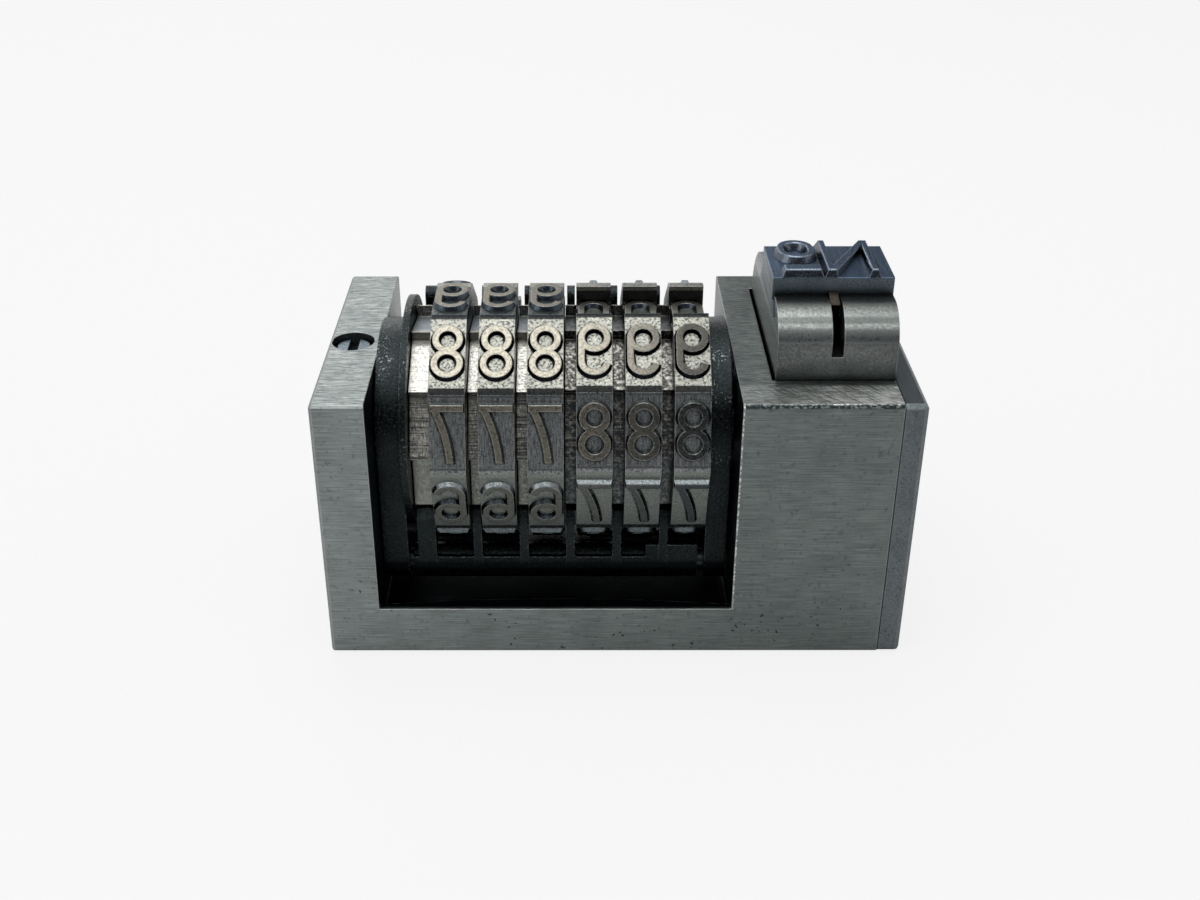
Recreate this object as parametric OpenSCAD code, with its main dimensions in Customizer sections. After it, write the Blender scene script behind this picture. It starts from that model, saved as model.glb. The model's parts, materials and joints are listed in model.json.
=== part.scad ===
// Six-wheel typographic numbering machine, millimetres, +Z up.
// Origin: middle of the base. +X runs to the prefix side, the front faces -Y.

/* [Casing] */
// Width of the plain left leg
left_leg_w = 3.6; // [3.3:0.1:4.5]
// Depth of the casing, front to back
frame_d = 21.9; // [21.8:0.1:24]
// Height of the casing
frame_h = 19.7; // [19.5:0.1:20.5]
// Thickness of the floor at the front of the wheel bay
floor_t = 3.7; // [3.5:0.1:4.2]
// Depth of the front lip of the floor at its middle
floor_lip = 1.3; // [1:0.1:1.8]
// Depth of the back lip of the floor
floor_back_lip = 1; // [0.8:0.1:1.5]
// Radius of the curve that the lip is milled to
lip_curve_r = 108; // [90:2:140]
// Wall between the wheel bay and the plunger pocket
pocket_wall_t = 2.25; // [2:0.05:3]
// Casing wall in front of the plunger
pocket_front_t = 3.65; // [3.4:0.05:4.2]
// Casing wall behind the plunger
pocket_back_t = 2.65; // [2.4:0.05:3.2]
// Casing floor under the plunger
pocket_floor_t = 2; // [1.8:0.1:2.6]
// Thickness of the side plate
side_plate_t = 1.55; // [1.4:0.05:2]
// Small bevel along the outer edges
edge_break = 0.2; // [0.1:0.05:0.4]
// Bevel along the outer edges of the side plate
plate_break = 0.3; // [0.15:0.05:0.4]
// Bevel on both sides of the seam between the side plate and the casing
seam_break = 0.06; // [0.04:0.01:0.15]

/* [Wheels] */
// Number of figure wheels
wheel_count = 6; // [4:1:8]
// Height of the wheel shaft above the base
axis_z = 14.3; // [14:0.1:14.6]
// Distance of the wheel shaft behind the front face
axis_y = 9.9; // [9.7:0.1:10.4]
// Diameter of the wheel shaft
shaft_d = 4.6; // [4.2:0.1:5]
// Distance from the shaft axis to each flat of a figure ring
facet_apothem = 8.7; // [8.5:0.05:8.8]
// Length milled off each flat's ends by the turned rim
corner_cut = 0.27; // [0.15:0.01:0.4]
// Width of a figure ring
ring_w = 2.43; // [2.3:0.05:2.8]
// Thickness of the ratchet beside each ring
ratchet_w = 0.77; // [0.65:0.01:1]
// Thickness of the ratchet of the units wheel, which does the most work
units_ratchet_w = 1.49; // [1.2:0.01:1.7]
// Side gap between neighbouring wheels
wheel_gap = 0.07; // [0.05:0.01:0.12]
// Radius of the ratchet teeth at their tips
ratchet_tip_r = 7.5; // [7.3:0.05:7.7]
// Depth of the ratchet teeth
tooth_depth = 0.8; // [0.6:0.05:1]
// Extra depth of the one notch that carries to the next wheel
carry_depth = 0.6; // [0.4:0.05:0.8]
// Angle of the first tooth tip, from the top towards the front
tooth_phase = 16.6; // [14:0.2:18]
// Radius of the guard washer beside the units wheel
washer_r = 8.25; // [8:0.05:8.4]
// Thickness of the guard washer
washer_t = 0.48; // [0.4:0.02:0.8]
// How many wheels at the units side stand turned within the play of their pawls
slack_wheels = 3; // [0:1:3]
// How far those wheels stand turned towards the front, in degrees
slack = 1.1; // [0:0.1:1.5]

/* [Figures] */
// Height of a figure
digit_h = 3.9; // [3.6:0.05:4]
// Width of a figure
digit_w = 2.15; // [1.9:0.05:2.2]
// Width of the strokes of a figure
stroke = 0.42; // [0.35:0.01:0.5]
// How far a figure stands out of its flat
digit_relief = 0.32; // [0.26:0.02:0.5]
// Length of a drop cipher around the wheel
cipher_l = 4.54; // [4.4:0.02:4.6]
// How far the cipher's middle lies ahead of its figure's middle
cipher_lead = 0.3; // [0.2:0.02:0.32]
// Height of the sliding block of a drop cipher
cipher_h = 3.1; // [2.8:0.1:3.2]
// How far a drop cipher sinks
cipher_drop = 1.4; // [1.3:0.05:1.5]
// Clearance around a drop cipher
cipher_clear = 0.03; // [0.02:0.01:0.05]

/* [Swing] */
// Thickness of the left cheek of the swing
cheek_left_t = 1.75; // [1.6:0.05:2.3]
// Thickness of the right cheek of the swing
cheek_right_t = 1.51; // [1.2:0.01:1.8]
// Radius of the round part of each cheek
cheek_r = 6.6; // [6.3:0.1:7]
// Angle through which the swing turns
swing_angle = 39; // [37:0.5:41]
// Diameter of the rod that carries the driving pawl
pawl_rod_d = 1.6; // [1.4:0.05:1.7]
// Radius of the hub of the driving pawl
pawl_hub_r = 1.25; // [1.2:0.05:1.3]
// Place of the pawl rod, as an angle from the top towards the front
pawl_rod_phi = 150.6; // [149:0.2:152]
// Diameter of the tie rod of the swing
tie_rod_d = 1.6; // [1.3:0.05:1.7]
// Place of the tie rod, as an angle from the top towards the front
tie_rod_phi = 176; // [174:1:180]
// Diameter of the crank pin that the plunger moves
crank_pin_d = 1.4; // [1.2:0.05:1.5]

/* [Pawls] */
// Width of a finger of the driving pawl between two rings
finger_w = 0.6; // [0.5:0.02:0.64]
// Thickness of a retaining pawl
keeper_w = 0.6; // [0.5:0.02:0.64]
// Radius of the hub of a retaining pawl
keeper_hub_r = 1.15; // [1.1:0.05:1.25]
// Diameter of the rod that carries the retaining pawls
keeper_rod_d = 1.5; // [1.3:0.05:1.6]
// Place of the retaining rod, as an angle from the top towards the back
keeper_rod_phi = 81; // [79:0.5:82]
// Thickness of the spring leaves
leaf_t = 0.2; // [0.15:0.01:0.25]
// Side of the square bar that carries the retaining springs
spring_bar_w = 1.5; // [1.3:0.1:1.6]

// Height of the retaining springs' bar above the base
spring_bar_z = 7; // [6:0.1:8]

/* [Plunger] */
// Width of the plunger
plunger_w = 8; // [7.5:0.05:9]
// Clearance between the plunger and its pocket
plunger_clear = 0.05; // [0.03:0.01:0.1]
// Gap between the plunger and the wall towards the wheels
plunger_side_gap = 0.2; // [0.05:0.01:0.3]
// Height of the plunger's underside above the base
plunger_bottom_z = 8; // [7.6:0.1:8.4]
// Travel of the plunger, until the prefix stands at type height
plunger_travel = 2.9; // [2.6:0.05:3.1]
// Radius of the plunger's rounded front
front_round_r = 2.65; // [2.2:0.05:2.7]
// Radius of the plunger's rounded back
back_round_r = 5.3; // [4.6:0.1:5.4]
// Width of the saw cut in the rounded front
front_cut_w = 0.78; // [0.6:0.02:0.9]
// Height of the saw cut
front_cut_h = 3.05; // [2.8:0.05:3.4]
// Diameter of the plunger's stop pin
stop_pin_d = 1.5; // [1.3:0.05:1.6]
// Outside diameter of each plunger spring
plunger_spring_d = 4; // [3.6:0.1:4.2]
// Wire diameter of each plunger spring
plunger_wire_d = 0.55; // [0.45:0.01:0.6]
// Turns of each plunger spring
plunger_spring_turns = 9; // [7:1:10]
// Depth of the spring bores in the plunger
spring_bore_h = 6; // [5:0.1:6.4]

/* [Prefix slug] */
// Depth of the slug's top, front to back
slug_top_d = 5.7; // [5.5:0.05:5.9]
// Side of the slug's dovetail
dovetail = 0.9; // [0.8:0.05:1]
// Height of the slug above the plunger's shoulders
slug_proud = 1.25; // [1:0.05:1.4]
// Straight side of the slug below the shoulders
slug_seat = 0.32; // [0.3:0.02:0.5]
// How far the slug stands over the plunger's side towards the wheels
slug_overhang = 0.13; // [0:0.01:0.18]
// How far the prefix characters stand out
prefix_relief = 0.55; // [0.45:0.02:0.6]

/* [Fastenings] */
// Diameter of the shaft's locking screw
lock_screw_d = 2.96; // [2.6:0.02:3]
// How deep the locking screw lies below the casing's top
lock_screw_sunk = 0.35; // [0.2:0.05:0.6]
// Diameter of the side plate's screws
plate_screw_d = 1.2; // [1:0.05:1.3]
// Head diameter of the side plate's screws
plate_head_d = 2.2; // [2:0.05:2.3]
// Length of the side plate's screws in the casing
plate_screw_l = 4; // [3:0.1:5]

/* [Clearances] */
// Radial clearance of a turning fit
turn_clear = 0.04; // [0.03:0.005:0.06]
// Radial clearance of a fixed pin in its hole
fixed_clear = 0.01; // [0.005:0.005:0.02]
// Gap between the pawls at rest and the turning tooth tips
tip_clear = 0.1; // [0.08:0.01:0.15]
// Gap between the turning figures and what passes behind them
figure_clear = 0.34; // [0.3:0.02:0.4]
// Gap between the swing and the casing below it
recess_clear = 0.3; // [0.2:0.05:0.35]
// Side gap beside the swing's cheeks
cheek_gap = 0.1; // [0.08:0.01:0.2]

/* [Hidden] */
$fn = 64;
eps = 0.5;              // overshoot of a cutting shape
digits = 10;            // figures on each wheel
tooth_angle = 360 / digits;

// Layout from left to right, measured from the outer left face
cheek_left_x = left_leg_w + cheek_gap;
washer_x = cheek_left_x + cheek_left_t + wheel_gap;
units_ratchet_x = washer_x + washer_t + wheel_gap;
first_ring_x = units_ratchet_x + units_ratchet_w;
wheel_pitch = ring_w + ratchet_w + wheel_gap;
wheels_end_x = first_ring_x + (wheel_count - 1) * wheel_pitch + ring_w;
cheek_right_x = wheels_end_x + cheek_gap;
bay_end_x = cheek_right_x + cheek_right_t + 2.5 * cheek_gap;
bay_w = bay_end_x - left_leg_w;
pocket_x = bay_end_x + pocket_wall_t;
pocket_w = plunger_side_gap + plunger_w + plunger_clear;
block_w = pocket_x + pocket_w;
overall_w = block_w + side_plate_t;

// Wheel sizes
shaft_r = shaft_d / 2;
figure_r = facet_apothem + digit_relief;
flat_half = facet_apothem * tan(180 / digits) - corner_cut;
turned_r = norm([facet_apothem, flat_half]);
sweep_r = max(norm([figure_r, digit_h / 2]), turned_r);
ratchet_root_r = ratchet_tip_r - tooth_depth;
pawl_tip_r = ratchet_tip_r + tip_clear;
type_z = axis_z + figure_r;
digit_sink = 0.15;      // how deep a figure is rooted in its flat

// Swing and pawl places, around the shaft
pawl_rod_r = sweep_r + figure_clear + pawl_hub_r;
tie_boss_r = tie_rod_d / 2 + 0.3;
tie_rod_reach = sweep_r + figure_clear + tie_boss_r;
pawl_boss_r = pawl_hub_r;
swing_reach = max(pawl_rod_r + pawl_hub_r, tie_rod_reach + tie_boss_r);
recess_r = swing_reach + recess_clear;
keeper_rod_r = sweep_r + figure_clear + keeper_hub_r + 0.06;

// Plunger places
pocket_y = pocket_front_t;
pocket_d = frame_d - pocket_front_t - pocket_back_t;
plunger_d = pocket_d - 2 * plunger_clear;
plunger_x = pocket_x + plunger_side_gap;
plunger_y = pocket_y + plunger_clear;
plunger_mid_x = plunger_x + plunger_w / 2;
slug_face_z = type_z + plunger_travel;
slug_top_z = slug_face_z - prefix_relief;
shoulder_z = slug_top_z - slug_proud;
crank_r = plunger_travel / (2 * sin(swing_angle / 2));
crank_phi = 90 - swing_angle / 2;
crank_clear = 0.05;     // play of the crank pin in the plunger's slot
window_clear = 0.25;    // room around the crank pin in the casing wall
crank_reach = 2.6;      // how far the crank pin reaches into the plunger
spring_step = 7.7;      // distance between the two plunger springs
spring_front_y = plunger_y + plunger_d / 2 - spring_step / 2;
spring_back_y = spring_front_y + spring_step;
spring_bore_d = plunger_spring_d + 0.3;
stop_pin_y = plunger_y + plunger_d / 2;
stop_pin_gap = 0.65;    // between the shaft and the stop pin below it
stop_pin_z = axis_z - shaft_r - stop_pin_d / 2 - stop_pin_gap;
stop_pin_seat = 1.4;    // how deep the stop pin is seated in the pocket wall
stop_pin_end = 0.9;     // how deep it reaches into the side plate
pin_room = 0.1;         // room beyond the ends of the pins and rods in their holes

// ---------------------------------------------------------------- helpers

// Figures shown on top, units first: the last three wheels stand at a sunk nought
function shown(i) = i <= 3 ? 9 : 0;
function ring_x(i) = first_ring_x + (i - 1) * wheel_pitch;
function ratchet_t(i) = i == 1 ? units_ratchet_w : ratchet_w;

// Point at radius r and angle phi, from the top towards the front, as [back, up]
function around(r, phi) = [-r * sin(phi), r * cos(phi)];
function unit(a) = [cos(a), sin(a)];

// Where a point goes when it turns about a pivot, both in [back, up]
function turned(p, pivot, a) = pivot + [cos(a) * (p - pivot)[0] - sin(a) * (p - pivot)[1],
    sin(a) * (p - pivot)[0] + cos(a) * (p - pivot)[1]];

// Moves the layout so that the base's middle is the origin
module seated() translate([-overall_w / 2, -frame_d / 2, 0]) children();

// Turns a drawing in [back, up] into a plate of thickness t that starts at x
module across(x, t) translate([x, axis_y, axis_z]) rotate([90, 0, 90]) linear_extrude(t) children();

// Turns a wheel, or what it carries, by its play
module at_rest(i) translate([0, axis_y, axis_z]) rotate([i <= slack_wheels ? slack : 0, 0, 0])
    translate([0, -axis_y, -axis_z]) children();

// Turns children about the wheel axis, from the top towards the front
module about_axis(phi) translate([0, axis_y, axis_z]) rotate([phi, 0, 0]) children();

// Round bar along X at a place in [back, up] around the wheel axis
module rod_at(place, d, x, l) translate([x, axis_y + place[0], axis_z + place[1]])
    rotate([0, 90, 0]) cylinder(d = d, h = l);

// Box with a small bevel along every edge: on its left side, its right side and between them
module bevelled_box(size, left, right, between) {
    module outline(w, h, l, r) polygon([[l, 0], [w - r, 0], [w, r], [w, h - r],
        [w - r, h], [l, h], [0, h - l], [0, l]]);
    intersection() {
        linear_extrude(size[2]) outline(size[0], size[1], left, right);
        translate([0, size[1], 0]) rotate([90, 0, 0]) linear_extrude(size[1])
            outline(size[0], size[2], left, right);
        rotate([90, 0, 90]) linear_extrude(size[0]) outline(size[1], size[2], between, between);
    }
}

// Web that joins a round hub at the centre to a boss, a hair inside their common tangents
web_inset = 0.03;
module tangent_web(hub_r, boss, boss_r) {
    hub = hub_r - web_inset;
    end = boss_r - web_inset;
    heading = atan2(boss[1], boss[0]);
    spread = acos((hub_r - boss_r) / norm(boss));
    polygon([hub * unit(heading + spread), hub * unit(heading - spread),
             boss + end * unit(heading - spread), boss + end * unit(heading + spread)]);
}

// Closed coil of round wire between two heights
module coil(outer_d, wire_d, z0, z1, turns) {
    sides = 6;
    per_turn = 14;
    rings = turns * per_turn;
    mean_r = (outer_d - wire_d) / 2;
    rise = (z1 - z0 - wire_d) / rings;
    points = [for (i = [0:rings], k = [0:sides - 1])
        let (a = i * 360 / per_turn, c = k * 360 / sides, r = mean_r + wire_d / 2 * cos(c))
        [r * cos(a), r * sin(a), z0 + wire_d / 2 + i * rise + wire_d / 2 * sin(c)]];
    faces = concat(
        [[for (k = [0:sides - 1]) k]],
        [[for (k = [sides - 1:-1:0]) rings * sides + k]],
        [for (i = [0:rings - 1], k = [0:sides - 1])
            let (n = (k + 1) % sides, a = i * sides, b = a + sides) [a + k, b + k, b + n, a + n]]);
    polyhedron(points, faces, convexity = 6);
}

// ---------------------------------------------------------------- figures

loop_r = digit_w / 2;
loop_y = digit_h / 2 - loop_r;
bar_half = ring_w / 2 - 0.1;            // half the bar of the seven
seven_r = 2.45 * digit_h;               // curve of the seven's stem
seven_foot = [-0.09 * digit_w, -digit_h / 2];

module ring(r) difference() {
    circle(r);
    circle(r - stroke);
}

module sector(a0, a1) polygon(concat([[0, 0]],
    [for (i = [0:6]) 3 * digit_w * unit(a0 + (a1 - a0) * i / 6)]));

// Part of a ring, anticlockwise from a0 to a1, less than a full turn
module arc(r, a0, a1) intersection() {
    ring(r);
    union() {
        sector(a0, (a0 + a1) / 2);
        sector((a0 + a1) / 2, a1);
    }
}

module bar(p, q) {
    heading = atan2(q[1] - p[1], q[0] - p[0]);
    side = stroke / 2 * unit(heading + 90);
    polygon([p + side, q + side, q - side, p - side]);
}

module nought() difference() {
    union() {
        for (s = [-1, 1]) translate([0, s * loop_y]) circle(loop_r);
        translate([-loop_r, -loop_y]) square([2 * loop_r, 2 * loop_y]);
    }
    for (s = [-1, 1]) translate([0, s * loop_y]) circle(loop_r - stroke);
    translate([stroke - loop_r, -loop_y]) square([2 * (loop_r - stroke), 2 * loop_y]);
}

module six() {
    translate([0, -loop_y]) ring(loop_r);
    translate([0, loop_y]) arc(loop_r, 15, 180);
    translate([-loop_r, -loop_y]) square([stroke, 2 * loop_y]);
}

module figure(n) {
    half_w = loop_r - stroke / 2;
    half_h = digit_h / 2 - stroke / 2;
    if (n == 0) nought();
    if (n == 1) {
        translate([-stroke / 2, -digit_h / 2]) square([stroke, digit_h]);
        bar([-0.6 * half_w, 0.55 * half_h], [0, digit_h / 2 - stroke / 2]);
    }
    if (n == 2) {
        translate([0, loop_y]) arc(loop_r, -35, 180);
        bar((loop_r - stroke / 2) * unit(-35) + [0, loop_y], [-half_w, -half_h]);
        translate([-loop_r, -digit_h / 2]) square([digit_w, stroke]);
    }
    if (n == 3) {
        translate([0, loop_y]) arc(loop_r, -90, 165);
        translate([0, -loop_y]) arc(loop_r, -165, 90);
    }
    if (n == 4) {
        translate([0.25 * loop_r, -digit_h / 2]) square([stroke, digit_h]);
        bar([0.25 * loop_r + stroke / 2, half_h], [-half_w, -0.3 * half_h]);
        translate([-loop_r, -0.3 * half_h - stroke / 2]) square([digit_w, stroke]);
    }
    if (n == 5) {
        translate([0, -loop_y]) arc(loop_r, -165, 140);
        translate([-0.85 * loop_r, -0.1 * digit_h]) square([stroke, 0.6 * digit_h]);
        translate([-0.85 * loop_r, digit_h / 2 - stroke]) square([0.9 * digit_w, stroke]);
    }
    if (n == 6) six();
    if (n == 7) {
        translate([-bar_half, digit_h / 2 - stroke]) square([2 * bar_half, stroke]);
        intersection() {
            translate(seven_foot + seven_r * [cos(4), -sin(4)]) difference() {
                circle(seven_r + stroke / 2);
                circle(seven_r - stroke / 2);
            }
            translate([-bar_half, -digit_h / 2]) square([2 * bar_half, digit_h]);
        }
    }
    if (n == 8) {
        translate([0, digit_h / 2 - 0.95 * loop_r]) ring(0.95 * loop_r);
        translate([0, -loop_y]) ring(loop_r);
    }
    if (n == 9) rotate(180) six();
}

// Raised figure on the flat at angle phi; type reads in mirror image
module raised_figure(n, x, phi, base_r) about_axis(phi) translate([x + ring_w / 2, 0, base_r - digit_sink])
    linear_extrude(digit_relief + digit_sink) mirror([1, 0]) figure(n);

// ---------------------------------------------------------------- wheels

// Ratchet outline: each tooth rises to its tip, with one deeper notch for the carry
module ratchet_outline(deep) polygon([for (k = [0:digits - 1])
    let (a = tooth_phase + k * tooth_angle, root = ratchet_root_r - (k == deep ? carry_depth : 0))
    each [around(ratchet_tip_r, a), around(root, a)]]);

cipher_slot_l = cipher_l + 2 * cipher_clear;
cipher_top_r = facet_apothem - cipher_drop;
cipher_bottom_r = cipher_top_r - cipher_h;

// Slot for a drop cipher, across the whole ring
function nought_phi(i) = -tooth_angle * ((digits - shown(i)) % digits);
module cipher_slot(i) about_axis(nought_phi(i))
    translate([ring_x(i), -cipher_lead - cipher_slot_l / 2, cipher_bottom_r - cipher_clear])
        cube([ring_w + eps, cipher_slot_l, facet_apothem]);

module figure_wheel(i) at_rest(i) {
    drops = i > 1;
    difference() {
        union() {
            across(ring_x(i), ring_w) intersection() {
                circle(r = facet_apothem / cos(180 / digits), $fn = digits);
                circle(turned_r);
            }
            across(ring_x(i) - ratchet_t(i), ratchet_t(i) + 0.1)
                ratchet_outline(i < wheel_count ? (3 + shown(i)) % digits : -1);
        }
        across(ring_x(i) - ratchet_t(i) - eps, ring_w + ratchet_t(i) + 2 * eps) circle(shaft_r + turn_clear);
        if (drops) cipher_slot(i);
    }
    for (k = [0:digits - 1]) {
        n = (shown(i) - k + digits) % digits;
        if (!(drops && n == 0)) raised_figure(n, ring_x(i), k * tooth_angle, facet_apothem);
    }
}

module drop_cipher(i) at_rest(i) {
    phi = nought_phi(i);
    about_axis(phi) translate([ring_x(i) + cipher_clear, -cipher_lead - cipher_l / 2, cipher_bottom_r])
        cube([ring_w - 2 * cipher_clear, cipher_l, cipher_h]);
    raised_figure(0, ring_x(i), phi, cipher_top_r);
}

module guard_washer() across(washer_x, washer_t) difference() {
    circle(washer_r);
    circle(shaft_r + fixed_clear);
}

// The shaft runs from the left leg to the pocket wall, with a flat under its screw
shaft_inset = 0.3;
shaft_flat = 0.3;
module wheel_shaft() difference() {
    across(shaft_inset, pocket_x - 0.2 - shaft_inset) circle(shaft_r);
    translate([shaft_inset - eps, axis_y - shaft_r, axis_z + shaft_r - shaft_flat])
        cube([left_leg_w - shaft_inset + eps, shaft_d, shaft_r]);
}

lock_screw_x = left_leg_w / 2 - 0.12;
lock_screw_slot = 0.68;
lock_screw_slot_h = 0.6;
lock_screw_point = 0.35;    // how far the screw's top is turned down to a cone
module shaft_lock_screw() {
    foot = axis_z + shaft_r - shaft_flat;
    top = frame_h - lock_screw_sunk;
    difference() {
        translate([lock_screw_x, axis_y, foot]) {
            cylinder(d = lock_screw_d, h = top - foot - lock_screw_point);
            translate([0, 0, top - foot - lock_screw_point])
                cylinder(d1 = lock_screw_d, d2 = lock_screw_d - 2 * lock_screw_point, h = lock_screw_point);
        }
        translate([lock_screw_x - lock_screw_slot / 2, axis_y - lock_screw_d, top - lock_screw_slot_h])
            cube([lock_screw_slot, 2 * lock_screw_d, lock_screw_slot_h + eps]);
    }
}

// ---------------------------------------------------------------- casing

keeper_rod_at = around(keeper_rod_r, -keeper_rod_phi);
keeper_rod_sunk = 2;
bar_tenon_d = 1.1;
bar_back = 0.3;         // margin between the spring bar and the back face
bar_place = [frame_d - axis_y - bar_back - spring_bar_w / 2, spring_bar_z - axis_z];
plate_screw_in = 2.9;   // distance of the plate screws from the base and the top
plate_screws = [for (y = [pocket_y / 2, (pocket_y + pocket_d + frame_d) / 2],
    z = [plate_screw_in, frame_h - plate_screw_in]) [y, z]];

// Curved window that lets the crank pin swing through the pocket wall
module crank_window() {
    half = crank_pin_d / 2 + window_clear;
    for (s = [-1, 1]) translate(around(crank_r, 90 + s * swing_angle / 2)) circle(half);
    intersection() {
        difference() {
            circle(crank_r + half);
            circle(crank_r - half);
        }
        polygon([[0, 0], 2 * around(crank_r, 90 - swing_angle / 2), 2 * around(crank_r, 90),
                 2 * around(crank_r, 90 + swing_angle / 2)]);
    }
}

module frame() {
    wall_x = bay_end_x - eps;
    wall_l = pocket_wall_t + 2 * eps;
    difference() {
        bevelled_box([block_w, frame_d, frame_h], edge_break, seam_break, edge_break);
        // bay for the wheels, open at the front, back and top
        translate([left_leg_w, -eps, floor_t]) cube([bay_w, frame_d + 2 * eps, frame_h]);
        // hollow in the floor that the swing passes through, behind a curved front lip
        translate([left_leg_w, 0, axis_z - recess_r]) linear_extrude(frame_h) difference() {
            square([bay_w, frame_d - floor_back_lip]);
            translate([bay_w / 2, floor_lip - lip_curve_r]) circle(lip_curve_r, $fn = 180);
        }
        // pocket for the plunger, open at the top and closed by the side plate
        translate([pocket_x, pocket_y, pocket_floor_t]) cube([pocket_w + eps, pocket_d, frame_h]);
        // holes for the shaft, its screw, the retaining rod and the spring bar
        across(-eps, left_leg_w + 2 * eps) circle(shaft_r + fixed_clear);
        across(wall_x, wall_l) circle(shaft_r + fixed_clear);
        translate([lock_screw_x, axis_y, axis_z]) cylinder(d = lock_screw_d + 0.04, h = frame_h);
        for (x = [left_leg_w - keeper_rod_sunk, wall_x]) {
            rod_at(keeper_rod_at, keeper_rod_d + 2 * fixed_clear, x, keeper_rod_sunk + eps);
            rod_at(bar_place, bar_tenon_d + 2 * fixed_clear, x, keeper_rod_sunk + eps);
        }
        across(wall_x, wall_l) crank_window();
        translate([pocket_x - stop_pin_seat - pin_room, stop_pin_y, stop_pin_z]) rotate([0, 90, 0])
            cylinder(d = stop_pin_d + 2 * fixed_clear, h = stop_pin_seat + pin_room + eps);
        for (p = plate_screws) translate([block_w - plate_screw_l, p[0], p[1]]) rotate([0, 90, 0])
            cylinder(d = plate_screw_d + 2 * fixed_clear, h = plate_screw_l + eps);
    }
}

plate_head_h = (plate_head_d - plate_screw_d) / 2;
module side_plate() difference() {
    shank_hole_d = plate_screw_d + 2 * fixed_clear;
    head_hole_d = plate_head_d + 2 * fixed_clear;
    translate([block_w, 0, 0])
        bevelled_box([side_plate_t, frame_d, frame_h], seam_break, plate_break, plate_break);
    for (p = plate_screws) translate([block_w - eps, p[0], p[1]]) rotate([0, 90, 0]) {
        cylinder(d = shank_hole_d, h = side_plate_t + 2 * eps);
        translate([0, 0, eps + side_plate_t - plate_head_h])
            cylinder(d1 = shank_hole_d, d2 = head_hole_d, h = plate_head_h);
        translate([0, 0, eps + side_plate_t]) cylinder(d = head_hole_d, h = eps);
    }
    translate([block_w - eps, stop_pin_y, stop_pin_z]) rotate([0, 90, 0])
        cylinder(d = stop_pin_d + 2 * fixed_clear, h = stop_pin_end + pin_room + eps);
}

module side_plate_screws() for (p = plate_screws) difference() {
    translate([block_w - plate_screw_l + 0.1, p[0], p[1]]) rotate([0, 90, 0]) {
        cylinder(d = plate_screw_d, h = plate_screw_l - 0.1 + side_plate_t);
        translate([0, 0, plate_screw_l - 0.1 + side_plate_t - plate_head_h])
            cylinder(d1 = plate_screw_d, d2 = plate_head_d, h = plate_head_h);
    }
    translate([block_w + side_plate_t - 0.3, p[0] - 0.15, p[1] - plate_head_d])
        cube([0.3 + eps, 0.3, 2 * plate_head_d]);
}

// ---------------------------------------------------------------- swing

pawl_rod_at = around(pawl_rod_r, pawl_rod_phi);
tie_rod_at = around(tie_rod_reach, tie_rod_phi);
crank_at = around(crank_r, crank_phi);
rod_seat = 1.2;         // how deep the swing's rods are seated in each cheek

module cheek_outline() difference() {
    union() {
        circle(cheek_r);
        tangent_web(cheek_r, pawl_rod_at, pawl_boss_r);
        translate(pawl_rod_at) circle(pawl_boss_r);
        tangent_web(cheek_r, tie_rod_at, tie_boss_r);
        translate(tie_rod_at) circle(tie_boss_r);
    }
    circle(shaft_r + turn_clear);
}

module swing_left_cheek() difference() {
    across(cheek_left_x, cheek_left_t) cheek_outline();
    inner = cheek_left_x + cheek_left_t;
    rod_at(pawl_rod_at, pawl_rod_d + 2 * fixed_clear, inner - rod_seat, rod_seat + eps);
    rod_at(tie_rod_at, tie_rod_d + 2 * fixed_clear, inner - rod_seat, rod_seat + eps);
}

module swing_right_cheek() difference() {
    across(cheek_right_x, cheek_right_t) cheek_outline();
    rod_at(pawl_rod_at, pawl_rod_d + 2 * fixed_clear, cheek_right_x - eps, rod_seat + eps);
    rod_at(tie_rod_at, tie_rod_d + 2 * fixed_clear, cheek_right_x - eps, rod_seat + eps);
    rod_at(crank_at, crank_pin_d + 2 * fixed_clear, cheek_right_x - eps, cheek_right_t + 2 * eps);
}

swing_rod_x = cheek_left_x + cheek_left_t - rod_seat;
swing_rod_l = cheek_right_x + rod_seat - swing_rod_x;
module swing_tie_rod() rod_at(tie_rod_at, tie_rod_d, swing_rod_x, swing_rod_l);
module pawl_rod() rod_at(pawl_rod_at, pawl_rod_d, swing_rod_x, swing_rod_l);
module crank_pin() rod_at(crank_at, crank_pin_d, cheek_right_x, plunger_x + crank_reach - cheek_right_x);

// ---------------------------------------------------------------- driving pawl

finger_phi = 128;       // angle of the finger tips, just below a tooth
finger_tip_w = 0.8;     // width of a finger tip, outwards
comb_front = 1.2;       // front of the comb, measured from its pivot
comb_top = 0.95;        // top of the comb's bar, measured from its pivot
comb_fillet_r = 0.2;    // rounding at the foot of each finger
comb_x = washer_x + 0.25;
comb_end_x = wheels_end_x - 0.4;
tail_top = -0.2;        // top of the pawl's spring tail, measured from its pivot
tail_reach = 1.9;
tail_w = 6;             // width and thickness of the spring tail
tail_t = 0.6;
raised_end = 1;         // extra height of the comb's end towards the prefix side
raised_back = -0.6;     // back of that end, measured from the pivot
raised_reach = 0.9;     // how far that end reaches past the last finger
pawl_lift = 10;         // degrees that the driving pawl lifts
leaf_clear = 0.08;      // gap left between a leaf and its fully lifted pawl

function finger_x(i) = i == 1 ? units_ratchet_x + 0.1 : ring_x(i) - (ratchet_w + wheel_gap + finger_w) / 2;
function finger_t(i) = i == 1 ? units_ratchet_w - 0.2 : finger_w;

// Each finger stands a little further from the shaft than the one before it
module finger_outline(step) polygon([around(pawl_tip_r + step, finger_phi),
    around(pawl_tip_r + finger_tip_w, finger_phi + 0.5),
    pawl_rod_at + [-comb_front, 0], pawl_rod_at, pawl_rod_at + [0, comb_top]]);

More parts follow.
